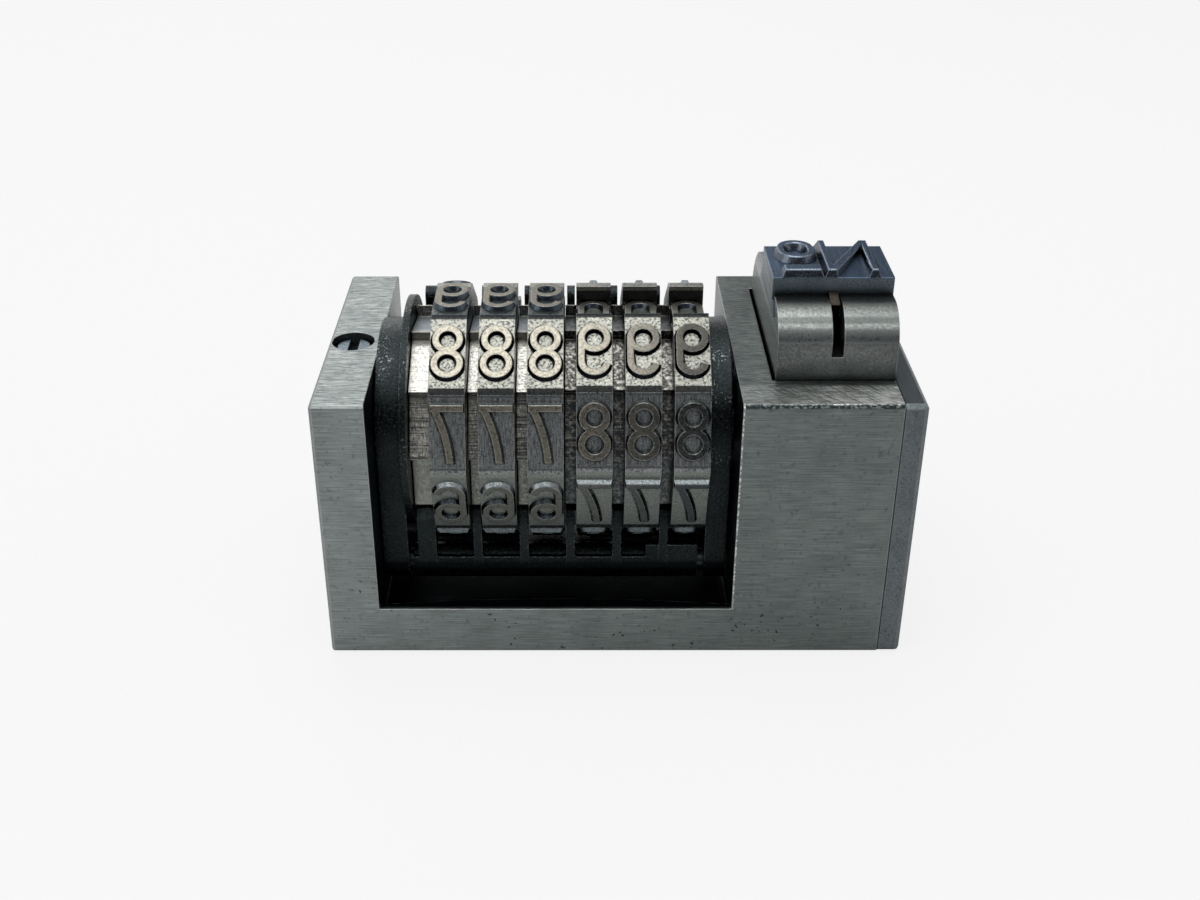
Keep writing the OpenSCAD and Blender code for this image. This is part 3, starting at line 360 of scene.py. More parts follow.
@dataclass(frozen=True)
class CasingSteel(WorkedSteel):
    """Ground casing whose wheel bay is black with old ink and oil, and with painted shade.

    Attributes:
        ink_and_shade: colour inside the bay, for old ink and painted shade.
        bay_left: X of the bay's left wall.
        bay_right: X of the bay's right wall.
        bare_y: Y behind which the upper part of the bay's walls stays free of the ink and painted shade.
        bare_z: Z above which it does.
        prefix_side_shade: painted shade that darkens the metal towards the prefix side.
        scuffed: colour of the filed strip on top, in front of the plunger, and of torn edges.
        crusted: colour of pits and of the dirt in a torn edge.
        lip_z: height of the lip at the bay's front.
        pit_mm: size of a rust pit and of a patch of them.
        rust_mm: heights where the pits thin out and where they are thickest.
        strip_mm: depth of the filed strip, and where it starts to fade.
        right_mm: distances from the bay where the strip is faint and where it is brightest.
        stroke_mm: length and width of the file's strokes on it.
        stroke_deg: how far they turn from the casing's length.
        dash_mm: length and width of the short cross strokes.
        crumb_mm: size of the crumbs at torn edges.
        burr_mm: reach of the torn edge's dirt, back and down.
        torn_mm: width of the bay's torn upright edge.
    """

    ink_and_shade: str = "#111c20"
    bay_left: float = 0.0
    bay_right: float = 0.0
    bare_y: float = 1.0
    bare_z: float = 1.0
    prefix_side_shade: str = "#d0d3d2"
    scuffed: str = "#f2f5f0"
    crusted: str = "#1c2224"
    lip_z: float = 3.7 * MM
    pit_mm: tuple[float, float] = (0.3, 3.5)
    rust_mm: tuple[float, float] = (8.0, 4.0)
    strip_mm: tuple[float, float] = (3.1, 2.7)
    right_mm: tuple[float, float] = (2.0, 6.0)
    stroke_mm: tuple[float, float] = (1.7, 0.11)
    stroke_deg: float = -52.0
    dash_mm: tuple[float, float] = (0.8, 0.13)
    crumb_mm: float = 0.2
    burr_mm: tuple[float, float] = (0.26, 0.24)
    torn_mm: float = 0.11

    def masked(self, tree: Tree, place: Source, base: Source) -> Source:
        """Pits the casing, paints shade on it towards the prefix side, files its top and blackens
        what lies between the bay's walls with ink and painted shade.

        Args:
            tree: the material's node tree.
            place: position in the object's own space.
            base: colour so far.

        Returns:
            The colour to use.
        """
        skin = 0.02 * MM  # takes in the walls' own faces
        fade = 0.6 * MM  # the ink thins out over this much
        x, y, z = add_node(tree, "SeparateXYZ", {"Vector": place}).outputs
        # painted shade: the casing darkens towards the prefix side
        toward_prefix = add_node(tree, "MapRange", {
            "Value": x, "From Min": self.bay_left, "From Max": self.bay_right, "To Max": 0.85})
        base = coat(tree, base, coat(tree, base, self.prefix_side_shade, blend="MULTIPLY"), toward_prefix)
        # rust has pitted it in a few patches near the base
        pit = mottle(tree, place, self.pit_mm[0] * MM, low=0.69, high=0.73, most=0.85, detail=1.0)
        patch = mottle(tree, place, self.pit_mm[1] * MM, low=0.5, high=0.58, detail=1.0)
        near_base = add_node(tree, "MapRange", {
            "Value": z, "From Min": self.rust_mm[0] * MM, "From Max": self.rust_mm[1] * MM,
            "To Min": 0.1})
        base = coat(tree, base, self.crusted, pit, patch, near_base)
        base = self.filed_strip(tree, place, (x, y, z), base)
        # the bay's walls and floor go near-black: old ink, and painted shade in the bay's depths
        inside = [
            add_node(tree, "Math", {0: value, 1: limit}, operation=side) for value, side, limit in (
                (x, "GREATER_THAN", self.bay_left - skin), (x, "LESS_THAN", self.bay_right + skin),
                (y, "GREATER_THAN", CAD_BOX[0][1] + 0.3 * MM), (z, "GREATER_THAN", 1.0 * MM),
                (y, "LESS_THAN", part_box("frame")[1].y - skin))]
        # the walls' upper back corners are left free of the ink and painted shade
        bare_corners = product(tree, *(
            add_node(tree, "MapRange", {"Value": value, "From Min": limit - fade, "From Max": limit})
            for value, limit in ((y, self.bare_y), (z, self.bare_z))))
        reached = add_node(tree, "Math", {0: 1.0, 1: bare_corners}, operation="SUBTRACT")
        return coat(tree, base, self.ink_and_shade, *inside, reached)

    def filed_strip(self, tree: Tree, place: Source, parts: Sequence[Source], base: Source) -> Source:
        """Brightens the strip in front of the plunger, where a file has left slanting strokes.

        Args:
            tree: the material's node tree.
            place: position in the object's own space.
            parts: that position's X, Y and Z.
            base: colour so far.

        Returns:
            The colour to use.
        """
        x, y, z = parts
        front = CAD_BOX[0][1]
        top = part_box("frame")[1].z
        slanted = add_node(tree, "Mapping", {
            "Vector": place, "Rotation": (0, 0, math.radians(self.stroke_deg)),
            "Scale": (self.stroke_mm[0] * MM, self.stroke_mm[1] * MM, MM)}, vector_type="TEXTURE")
        stroke = mottle(tree, slanted, 1.0, low=0.40, high=0.50, detail=4.0, roughness=0.7)
        near, right = (
            add_node(tree, "MapRange", {"Value": value, "From Min": start, "From Max": end, "To Min": least})
            for value, start, end, least in (
                (y, *(front + d * MM for d in self.strip_mm), 0.0),
                (x, *(self.bay_right + d * MM for d in self.right_mm), 0.2)))
        on_top, past_bay, off_front, above_lip, at_edge = (
            add_node(tree, "Math", {0: value, 1: limit}, operation=side) for value, side, limit in (
                (z, "GREATER_THAN", top - 0.02 * MM), (x, "GREATER_THAN", self.bay_right),
                (z, "GREATER_THAN", top - self.burr_mm[1] * MM), (z, "GREATER_THAN", self.lip_z),
                (y, "LESS_THAN", front + self.burr_mm[0] * MM)))
        base = coat(tree, base, self.scuffed, stroke, near, right, on_top, past_bay)
        # the file has torn the edge in front, and dirt sits in the burr
        burr, flake = (
            mottle(tree, place, self.crumb_mm * MM, *levels) for levels in (
                (0.40, 0.52, 0.25, 0.95), (0.46, 0.6, 0.05, 0.75)))
        base = coat(tree, base, self.crusted, burr, at_edge, off_front, past_bay)
        # short cross strokes of the file on the tops
        dash_place = add_node(tree, "Mapping", {"Vector": place, "Scale": per_metre((*self.dash_mm, 1.0))})
        dash = mottle(
            tree, dash_place, 1.0, low=0.33, high=0.67, least=0.42, most=1.5, detail=4.0, roughness=0.65)
        base = coat(tree, base, dash, on_top, blend="MULTIPLY")
        # the bay's upright front edge is torn bright
        off_edge = add_node(tree, "Math", {0: x, 1: self.bay_right}, operation="SUBTRACT")
        off_edge = add_node(tree, "Math", {0: off_edge}, operation="ABSOLUTE")
        torn = add_node(tree, "Math", {0: off_edge, 1: self.torn_mm * MM}, operation="LESS_THAN")
        return coat(tree, base, self.scuffed, flake, torn, at_edge, above_lip)


@dataclass(frozen=True)
class WheelSteel(WorkedSteel):
    """Hardened figure wheel: polished printing faces, granular flats and a ribbed ratchet.

    The rows are lists of an angle in degrees, from the top towards the front, and the tint that
    begins there. The tints of the flats, faces and teeth are painted light and shade for the way
    each row faces the lamps.

    Attributes:
        polished: colour of the printing faces.
        film_and_shade_rows: rows of the ink dried on the faces and ratchets towards the prefix side, with
            painted shade that differs from row to row.
        ink_and_shade: near-black of the ink and painted shade in the slots, between the wheels and on some
            rims.
        face_r: distance of the printing faces from the shaft.
        ratchet_r: radius that the ratchets stay inside.
        film_from: X where the ink film begins.
        film_to: X where it is at its thickest.
        flat_r: distance of the flats from the shaft.
        flat_shade_rows: rows of painted light and shade on the flats.
        face_shade_rows: rows of painted light and shade on the printing faces.
        tooth_shade_rows: rows of painted light and shade on the ratchet teeth.
        step: angle between two figures.
        slack: angle that the wheel stands turned towards the front.
        cut: colour of the freshly cut ratchet teeth.
        crumb_mm: size of the crumbs of ink in the last wheels' gaps.
        streak_mm: width and length of the brush streaks.
        rib_mm: distance between the ribs, and how far one runs before it changes.
    """

    polished: str = "#aaa496"
    film_and_shade_rows: tuple[tuple[float, str], ...] = (
        (-180, "#3b3b38"), (18, "#3a3936"), (54, "#474a4b"), (90, "#40464a"))
    ink_and_shade: str = "#14181a"
    face_r: float = 9.02 * MM
    ratchet_r: float = 7.75 * MM
    film_from: float = 0.0
    film_to: float = 0.01
    flat_r: float = 8.7 * MM
    flat_shade_rows: tuple[tuple[float, str], ...] = (
        (-180, "#a0a0a0"), (-54, "#ffffff"), (-14, "#8a929b"), (18, "#eeeeec"), (54, "#e8ecf5"),
        (90, "#c4cbce"), (126, "#d0d6d8"))
    face_shade_rows: tuple[tuple[float, str], ...] = (
        (-180, "#b0b0b0"), (-18, "#bcbcb8"), (18, "#eeeeec"), (54, "#eceae4"), (90, "#a0a8ac"),
        (126, "#7a7c7c"))
    tooth_shade_rows: tuple[tuple[float, str], ...] = (
        (-180, "#b0b0b0"), (-19.4, "#cddff2"), (12, "#ffffff"), (52.6, "#e2e0dc"), (88.6, "#a6aba9"),
        (124.6, "#7a7c7c"))
    step: float = math.tau / 10
    slack: float = 0.0
    cut: str = "#d6d4cc"
    crumb_mm: float = 0.24
    streak_mm: tuple[float, float] = (0.09, 0.7)
    rib_mm: tuple[float, float] = (0.11, 5.0)

    def round_shaft(self, tree: Tree, place: Source) -> tuple[Source, Source, Source, Source]:
        """Takes a place apart round the shaft.

        Args:
            tree: the material's node tree.
            place: position in the object's own space.

        Returns:
            X, Y and Z from the shaft's middle, and the angle from the top towards the back.
        """
        arm = add_node(tree, "VectorMath", {0: place, 1: SHAFT}, operation="SUBTRACT")
        x, y, z = add_node(tree, "SeparateXYZ", {"Vector": arm}).outputs
        return x, y, z, add_node(tree, "Math", {0: y, 1: z}, operation="ARCTAN2")

    def row_light_and_shade(self, tree: Tree, angle: Source, rows: Sequence[tuple[float, str]]) -> Source:
        """Gives each row round the wheel its tint: painted light and shade for the way the row faces.

        Args:
            tree: the material's node tree.
            angle: angle round the shaft, from the top towards the back.
            rows: where each tint begins, from the top towards the front, and its colour.

        Returns:
            The tint.
        """
        turn = add_node(tree, "MapRange", {"Value": angle, "From Min": math.pi, "From Max": -math.pi})
        tint = add_node(tree, "ValToRGB", {0: turn})
        tint.color_ramp.interpolation = "CONSTANT"
        fill_ramp(tint.color_ramp, (((start_deg + 180) / 360, colour) for start_deg, colour in rows))
        return tint

    def off_row(self, tree: Tree, angle: Source, row: int) -> Source:
        """Gives how far an angle lies from the middle of a row, counted from the top to the front.

        Args:
            tree: the material's node tree.
            angle: angle round the shaft, from the top towards the back.
            row: the row, where the top one is 0.

        Returns:
            The angle between them, without its sign.
        """
        off = add_node(tree, "Math", {0: angle, 1: row * self.step}, operation="ADD")
        return add_node(tree, "Math", {0: off}, operation="ABSOLUTE")

    def streaked_highlight(self, tree: Tree, angle: Source, along: Source, base: Source) -> Source:
        """Brightens the flats that face forward with a painted highlight, broken by the streaks of the brush
        that inks them.

        Args:
            tree: the material's node tree.
            angle: angle round the shaft, from the top towards the back.
            along: distance along the shaft.
            base: colour so far.

        Returns:
            The colour to use.
        """
        thin, long = self.streak_mm
        streak_place = add_node(tree, "CombineXYZ", {
            "X": product(tree, along, 1 / (thin * MM)),
            "Y": product(tree, angle, self.flat_r / (long * MM))})
        # painted highlight on the forward-facing row, streaked
        gain = mottle(
            tree, streak_place, 1.0, low=0.35, high=0.65, least=0.85, most=2.1, detail=3.0)
        on_row = add_node(
            tree, "Math", {0: self.off_row(tree, angle, 2), 1: 0.43 * self.step}, operation="LESS_THAN")
        return coat(tree, base, gain, on_row, blend="MULTIPLY")

    def masked(self, tree: Tree, place: Source, base: Source) -> Source:
        """Polishes the printing faces, paints light and shade row by row, ribs the ratchets and lays the
        dried ink on both.

        Args:
            tree: the material's node tree.
            place: position in the object's own space.
            base: colour so far.

        Returns:
            The colour to use.
        """
        x, y, z, angle = self.round_shaft(tree, place)
        angle = add_node(tree, "Math", {0: angle, 1: self.slack}, operation="ADD")
        shifted = add_node(tree, "Math", {0: angle, 1: self.step / 2}, operation="ADD")
        nearest = add_node(tree, "Math", {0: shifted, 1: self.step}, operation="SNAP")
        across = add_node(tree, "Math", {0: angle, 1: nearest}, operation="SUBTRACT")
        flat_arm = add_node(tree, "CombineXYZ", {"Y": y, "Z": z})
        radius = add_node(tree, "VectorMath", {0: flat_arm}, operation="LENGTH").outputs["Value"]
        rise = product(tree, radius, add_node(tree, "Math", {0: across}, operation="COSINE"))
        # what each part of a wheel is, by its distance from the shaft and its row
        on_face, on_ratchet, past_ratchet, under_flat, rim, low_down, ribbed = (
            add_node(tree, "Math", {0: value, 1: limit}, operation=side) for value, side, limit in (
                (rise, "GREATER_THAN", self.face_r - 0.05 * MM), (radius, "LESS_THAN", self.ratchet_r),
                (radius, "GREATER_THAN", self.ratchet_r), (rise, "LESS_THAN", self.flat_r - 0.012 * MM),
                (radius, "GREATER_THAN", self.flat_r - 0.08 * MM),
                (angle, "LESS_THAN", -2.5 * self.step), (angle, "GREATER_THAN", -2.47 * self.step)))
        polished = coat(tree, base, self.polished, 0.7)
        # painted light and shade: each row of printing faces is tinted for the way it faces the lamps
        face_shade = self.row_light_and_shade(tree, angle, self.face_shade_rows)
        polished = coat(tree, polished, face_shade, blend="MULTIPLY")
        # the ratchets and the flats that face down carry less grain than the rest
        base = coat(tree, base, self.body, low_down, 0.75)
        base = coat(tree, base, self.cut, on_ratchet, 0.72)
        base = self.streaked_highlight(tree, angle, x, base)
        # painted light and shade on the flats and the ratchet teeth, row by row
        flat_shade = self.row_light_and_shade(tree, angle, self.flat_shade_rows)
        tint = coat(tree, flat_shade, self.row_light_and_shade(tree, angle, self.tooth_shade_rows), on_ratchet)
        base = coat(tree, base, tint, blend="MULTIPLY")
        base = coat(tree, base, polished, on_face)
        # ink and painted shade darken the slots and the sides; of the rims, only those by the row that faces
        # up and forward get the painted shade
        away = add_node(
            tree, "Math", {0: self.off_row(tree, angle, 1), 1: 1.25 * self.step}, operation="GREATER_THAN")
        ink_and_shade_share = add_node(tree, "MapRange", {
            "Value": product(tree, rim, away), "To Min": 0.86, "To Max": 0.0})
        base = coat(tree, base, self.ink_and_shade, under_flat, past_ratchet, ink_and_shade_share)
        # ribs that the cutter leaves across each tooth, about a tenth of a millimetre apart
        apart, wide = self.rib_mm
        rib_place = add_node(tree, "CombineXYZ", {
            "X": product(tree, x, 1 / (wide * MM)),
            "Y": product(tree, angle, self.ratchet_r / (apart * MM))})
        deeper = add_node(tree, "MapRange", {
            "Value": angle, "From Min": -1.2 * self.step, "From Max": -1.6 * self.step,
            "To Min": 0.3, "To Max": 0.75})
        rib = mottle(tree, rib_place, 1.0, low=0.46, high=0.58, most=product(tree, deeper, ribbed))
        base = coat(tree, base, self.stain, rib, on_ratchet)
        # ink dried on what stands proud and on the ratchets, thicker towards the last wheel, with its
        # row-by-row painted shade
        along = add_node(tree, "SeparateXYZ", {"Vector": place}).outputs["X"]
        thick = add_node(tree, "MapRange", {
            "Value": along, "From Min": self.film_from, "From Max": self.film_to, "To Max": 0.95})
        past_third = add_node(tree, "Math", {0: along, 1: self.film_from}, operation="GREATER_THAN")
        crumb = mottle(tree, place, self.crumb_mm * MM, low=0.64, high=0.44, least=0.3, most=0.96, detail=3.0)
        film = add_node(tree, "Math", {
            0: product(tree, thick, on_face), 1: product(tree, past_third, on_ratchet, crumb)},
            operation="MAXIMUM")
        return coat(tree, base, self.row_light_and_shade(tree, angle, self.film_and_shade_rows), film)


@dataclass(frozen=True)
class ShoulderSteel(WheelSteel):
    """Smooth slopes under the printing faces, each row tinted with painted light and shade for the way it
    faces.
    """

    def masked(self, tree: Tree, place: Source, base: Source) -> Source:
        """Paints light and shade on each row's slopes.

        Args:
            tree: the material's node tree.
            place: position in the object's own space.
            base: colour so far.

        Returns:
            The colour to use.
        """
        angle = self.round_shaft(tree, place)[-1]
        # painted light and shade, row by row
        return coat(tree, base, self.row_light_and_shade(tree, angle, self.flat_shade_rows), blend="MULTIPLY")


@dataclass(frozen=True)
class BandedSteel(WorkedSteel):
    """Steel whose tint changes with height; on the plunger the bands are painted reflections, on the clip the
    dark band is painted shade.

    Attributes:
        bands: heights and the tint at each, from the bottom up; it blends from one to the next.
    """

    bands: tuple[tuple[float, str], ...] = ((0.0, "#808080"), (0.001, "#ffffff"))

    def masked(self, tree: Tree, place: Source, base: Source) -> Source:
        """Tints what lies at each height.

        Args:
            tree: the material's node tree.
            place: position in the object's own space.
            base: colour so far.

        Returns:
            The colour to use.
        """
        height = add_node(tree, "SeparateXYZ", {"Vector": place}).outputs["Z"]
        bottom, top = self.bands[0][0], self.bands[-1][0]
        share = add_node(tree, "MapRange", {"Value": height, "From Min": bottom, "From Max": top})
        tint = add_node(tree, "ValToRGB", {0: share})
        fill_ramp(tint.color_ramp, (((z - bottom) / (top - bottom), colour) for z, colour in self.bands))
        return coat(tree, base, tint, blend="MULTIPLY")


@dataclass(frozen=True)
class OxideSteel(WorkedSteel):
    """Black steel with painted glints in patches, mostly high up, and darker towards the bottom.

    Attributes:
        painted_glint: colour of the painted glints.
        low_dark: colour that it darkens to towards the bottom.
        low_dark_z: height that it reaches.
        crumb_mm: size of a painted glint and of a patch of them.
    """

    painted_glint: str = "#7c8382"
    low_dark: str = "#070b0d"
    low_dark_z: float = 5.3 * MM
    crumb_mm: tuple[float, float] = (0.14, 2.4)

    def masked(self, tree: Tree, place: Source, base: Source) -> Source:
        """Scatters painted glints in patches and darkens the bottom.

        Args:
            tree: the material's node tree.
            place: position in the object's own space.
            base: colour so far.

        Returns:
            The colour to use.
        """
        # painted glints, scattered in patches
        crumb = mottle(tree, place, self.crumb_mm[0] * MM, low=0.59, high=0.67)
        patch = mottle(tree, place, self.crumb_mm[1] * MM, low=0.5, high=0.64, least=0.1, detail=1.0)
        # most of the painted glints lie high up, where the light from above falls
        height = add_node(tree, "SeparateXYZ", {"Vector": place}).outputs["Z"]
        high_up = add_node(tree, "MapRange", {
            "Value": height, "From Min": SHAFT.z - 2 * MM, "From Max": SHAFT.z + 1 * MM, "To Min": 0.15})
        base = coat(tree, base, self.painted_glint, crumb, patch, high_up)
        # darker towards the bottom
        low = add_node(tree, "MapRange", {
            "Value": height, "From Min": self.low_dark_z + 0.3 * MM, "From Max": self.low_dark_z, "To Max": 0.75})
        return coat(tree, base, self.low_dark, low)


# ---------------------------------------------------------------- raised type


Key = tuple[int, int, int]


@dataclass
class TypeShoulders:
    """Sloping shoulders that carry a raised printing face down to the metal around it.

    Attributes:
        name: name of the new piece.
        node_name: the frame node whose printing faces are carried.
        up: outward normal of the printing face.
        height: distance of the printing face from the origin along that normal.
        drop: height of the shoulders.
        spread: how far they slope outwards.
        low_x: left limit of the shoulders.
        high_x: right limit of the shoulders.
        aligned: cosine past which a face counts as facing along the normal.
        stray: how far a printing face's middle may lie off its height.
        blunt: lower limit on a corner's squared mean direction, which keeps its foot from reaching out.
    """

    name: str
    node_name: str
    up: Vector
    height: float
    drop: float
    spread: float
    low_x: float
    high_x: float
    aligned: float = 0.999
    stray: float = 0.03 * MM
    blunt: float = 0.35

    def outline_edges(self, mesh: bmesh.types.BMesh) -> list[tuple[Vector, Vector]]:
        """Finds the printing face's outline.

        Args:
            mesh: the frame node's welded mesh.

        Returns:
            Each edge's two ends, with the printing face on its left.
        """
        faces = [
            f for f in mesh.faces if f.normal.dot(self.up) > self.aligned
            and abs(f.calc_center_median().dot(self.up) - self.height) < self.stray]
        edges = []
        for face in faces:
            for loop in face.loops:
                others = [f for f in loop.edge.link_faces if f is not face]
                if not any(f in faces for f in others):
                    edges.append((loop.vert.co.copy(), loop.link_loop_next.vert.co.copy()))
        return edges

    def build(self, material: bpy.types.Material) -> bpy.types.Object | None:
        """Builds the shoulders as one closed mesh that rides with their node.

        Args:
            material: the finish of the slopes.

        Returns:
            The new piece, or nothing where the node has no such printing face.
        """
        source = bmesh.new()
        source.from_mesh(frame["nodes"][self.node_name].data)
        bmesh.ops.remove_doubles(source, verts=source.verts, dist=WELD)
        source.normal_update()
        edges = self.outline_edges(source)
        source.free()
        if not edges:
            return None
        outward: dict[Key, list[Vector]] = {}
        for start, end in edges:
            away = (end - start).cross(self.up).normalized()
            for point in (start, end):
                outward.setdefault(self.key(point), []).append(away)
        mesh = bmesh.new()
        rims: dict[Key, tuple[bmesh.types.BMVert, ...]] = {}
        for start, end in edges:
            for point in (start, end):
                if self.key(point) not in rims:
                    rims[self.key(point)] = self.rim(mesh, point, outward[self.key(point)])
        for start, end in edges:
            top_a, foot_a, root_a = rims[self.key(start)]
            top_b, foot_b, root_b = rims[self.key(end)]
            for corners in ((top_b, top_a, foot_a, foot_b), (foot_b, foot_a, root_a, root_b),
                            (root_b, root_a, top_a, top_b)):
                if len(set(corners)) == len(corners) and mesh.faces.get(corners) is None:
                    mesh.faces.new(corners)
        bmesh.ops.recalc_face_normals(mesh, faces=mesh.faces)
        data = bpy.data.meshes.new(self.name)
        mesh.to_mesh(data)
        mesh.free()
        data.materials.append(material)
        piece = bpy.data.objects.new(self.name, data)
        bpy.context.scene.collection.objects.link(piece)
        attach(piece, BODY_OF[self.node_name])
        LOG.info("built %s with %d edges", self.name, len(edges))
        return piece

    def key(self, point: Vector) -> Key:
        """Gives a key that is the same for two points less than a micrometre apart."""
        return tuple(round(c / WELD) for c in point)

    def rim(
        self, mesh: bmesh.types.BMesh, point: Vector, away: Sequence[Vector]
    ) -> tuple[bmesh.types.BMVert, ...]:
        """Makes the three vertices under one outline point.

        Args:
            mesh: the mesh that takes them.
            point: a point of the printing face's outline.
            away: outward direction of each outline edge that meets there.

        Returns:
            The vertex on the face, the one at the slope's foot and the one right under the first.
        """
        mean = sum(away, Vector()) / len(away)
        reach = mean / max(mean.length_squared, self.blunt)
        foot = point + reach * self.spread - self.up * self.drop
        foot.x = min(max(foot.x, self.low_x), self.high_x)
        root = point - self.up * self.drop
        return tuple(mesh.verts.new(p) for p in (point, foot, root))


# ---------------------------------------------------------------- sub-assemblies


@dataclass
class Casing:
    """Casing, side plate and their screws."""

    ground: bpy.types.Material
    plate: bpy.types.Material
    screw: bpy.types.Material

    def build(self) -> None:
        """Dresses the casing's pieces."""
        dress("frame", self.ground)
        dress("side_plate", self.plate)
        dress("side_plate_screws", self.screw)
        dress("shaft_lock_screw", self.screw)


@dataclass
class FigureWheels:
    """The row of figure wheels on their shaft, with the drop ciphers and the guard washer.

    Attributes:
        steel: finish of the wheels that stand straight.
        turned_steel: finish of the wheels that stand turned towards the front.
        shoulder: finish of the slopes under the figures.
        cipher: finish of the drop ciphers.
        black: finish of the guard washer.
        shaft: finish of the shaft.
        relief_mm: height of the figures over the flats.
        facet_mm: distance of the wheels' flats from the shaft.
        cipher_mm: distance of the ciphers' flats from the shaft.
        slope_mm: how far the slopes spread.
        sink_mm: how far they go down into the flats.
        ring_mm: width of a wheel's figure ring.
        inset_mm: how far the slopes stay inside the ring's sides.
        count: number of figures round a wheel.
        crisp_deg: an edge that bends more than this stays sharp.
        slack_deg: how far the first wheels stand turned, within their pawls' play.
    """

    steel: bpy.types.Material
    turned_steel: bpy.types.Material
    shoulder: bpy.types.Material
    cipher: bpy.types.Material
    black: bpy.types.Material
    shaft: bpy.types.Material
    relief_mm: float = 0.32
    facet_mm: float = 8.7
    cipher_mm: float = 7.3
    slope_mm: float = 0.18
    sink_mm: float = 0.03
    ring_mm: float = 2.43
    inset_mm: float = 0.01
    count: int = 10
    crisp_deg: float = 12.0
    slack_deg: float = 1.1

    def wheels(self) -> list[str]:
        """Lists the wheels' nodes, units first."""
        return sorted(n for n in frame["nodes"] if n.startswith("wheel_") and n != "wheel_shaft")

    def slack(self, node_name: str) -> float:
        """Gives the angle that a wheel or its cipher stands turned towards the front."""
        turned = ("units", "tens", "hundreds", "cipher_2", "cipher_3")
        return math.radians(self.slack_deg) if node_name.endswith(turned) else 0.0

    def shoulders(self, node_name: str, face_mm: float) -> None:
        """Builds the shoulders of every figure on one node, as one piece.

        Args:
            node_name: a wheel or a drop cipher.
            face_mm: distance of its printing faces from the shaft.
        """
        ring_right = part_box(node_name)[1].x
        ring_left = ring_right - self.ring_mm * MM
        parts = []
        for index in range(self.count):
            angle = index * math.tau / self.count + self.slack(node_name)
            up = Vector((0, -math.sin(angle), math.cos(angle)))
            part = TypeShoulders(
                f"{node_name}_shoulders_{index}", node_name, up, SHAFT.dot(up) + face_mm * MM,
                drop=(self.relief_mm + self.sink_mm) * MM, spread=self.slope_mm * MM,
                low_x=ring_left + self.inset_mm * MM, high_x=ring_right - self.inset_mm * MM)
            parts.append(part.build(self.shoulder))
        self.join([p for p in parts if p], f"{node_name}_shoulders")

    def join(self, parts: Sequence[bpy.types.Object], name: str) -> None:
        """Joins the shoulders of one node into one piece.

        Args:
            parts: the shoulders of each figure.
            name: name of the joined piece.
        """
        whole = bmesh.new()
        for part in parts:
            whole.from_mesh(part.data)
        first = parts[0]
        whole.to_mesh(first.data)
        whole.free()
        for part in parts[1:]:
            bpy.data.objects.remove(part)
        first.name = name
        first.data.name = name
        LOG.info("joined %s", name)

    def build(self) -> None:
        """Dresses the wheels and the ciphers, and slopes the shoulders of their figures."""
        for node_name in self.wheels():
            steel = self.turned_steel if self.slack(node_name) else self.steel
            dress(node_name, steel, self.crisp_deg)
            self.shoulders(node_name, self.facet_mm + self.relief_mm)
        for node_name in sorted(n for n in frame["nodes"] if n.startswith("drop_cipher")):
            dress(node_name, self.cipher, self.crisp_deg)
            self.shoulders(node_name, self.cipher_mm + self.relief_mm)
        dress("wheel_shaft", self.shaft)
        dress("guard_washer", self.black)


@dataclass
class Swing:
    """The swing with its rods and its comb-shaped driving pawl."""

    black: bpy.types.Material
    rod: bpy.types.Material
    leaf: bpy.types.Material

    def build(self) -> None:
        """Dresses the swing's pieces."""
        for node_name in ("swing_left_cheek", "swing_right_cheek", "driving_pawl"):
            dress(node_name, self.black)
        for node_name in ("swing_tie_rod", "pawl_rod", "crank_pin"):
            dress(node_name, self.rod)
        dress("pawl_spring", self.leaf)


@dataclass
class Keepers:
    """The retaining pawls behind the wheels, with their rod, bar and leaves."""

    black: bpy.types.Material
    rod: bpy.types.Material
    leaf: bpy.types.Material

    def build(self) -> None:
        """Dresses the retaining pawls and what carries them."""
        for node_name in sorted(n for n in frame["nodes"] if n.startswith("keeper_pawl")):
            dress(node_name, self.black)
        dress("keeper_rod", self.rod)
        dress("keeper_spring_bar", self.black)
        dress("keeper_springs", self.leaf)


@dataclass
class Plunger:
    """The plunger, its springs and stop pin, and the prefix slug in its groove.

    Attributes:
        satin: finish of the plunger, with painted reflection bands.
        blued: finish of the slug.
        wire: finish of the springs and the stop pin.
        clip: finish of the clip in the saw cut.
        mark: finish of the slopes under the slug's mark.
        relief_mm: height of the slug's mark.
        slope_mm: how far its slopes spread.
    """

    satin: bpy.types.Material
    blued: bpy.types.Material
    wire: bpy.types.Material
    clip: bpy.types.Material
    mark: bpy.types.Material
    relief_mm: float = 0.55
    slope_mm: float = 0.26

    def build(self) -> None:
        """Dresses the plunger's pieces and slopes the shoulders of the prefix characters."""
        dress("plunger", self.satin)
        dress("prefix_slug", self.blued)
        dress("slug_spring", self.clip)
        for node_name in ("plunger_spring_front", "plunger_spring_back", "plunger_stop_pin"):
            dress(node_name, self.wire)
        low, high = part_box("prefix_slug")
        TypeShoulders(
            "prefix_mark_shoulders", "prefix_slug", Vector((0, 0, 1)), high.z,
            self.relief_mm * MM, self.slope_mm * MM, low.x, high.x).build(self.mark)


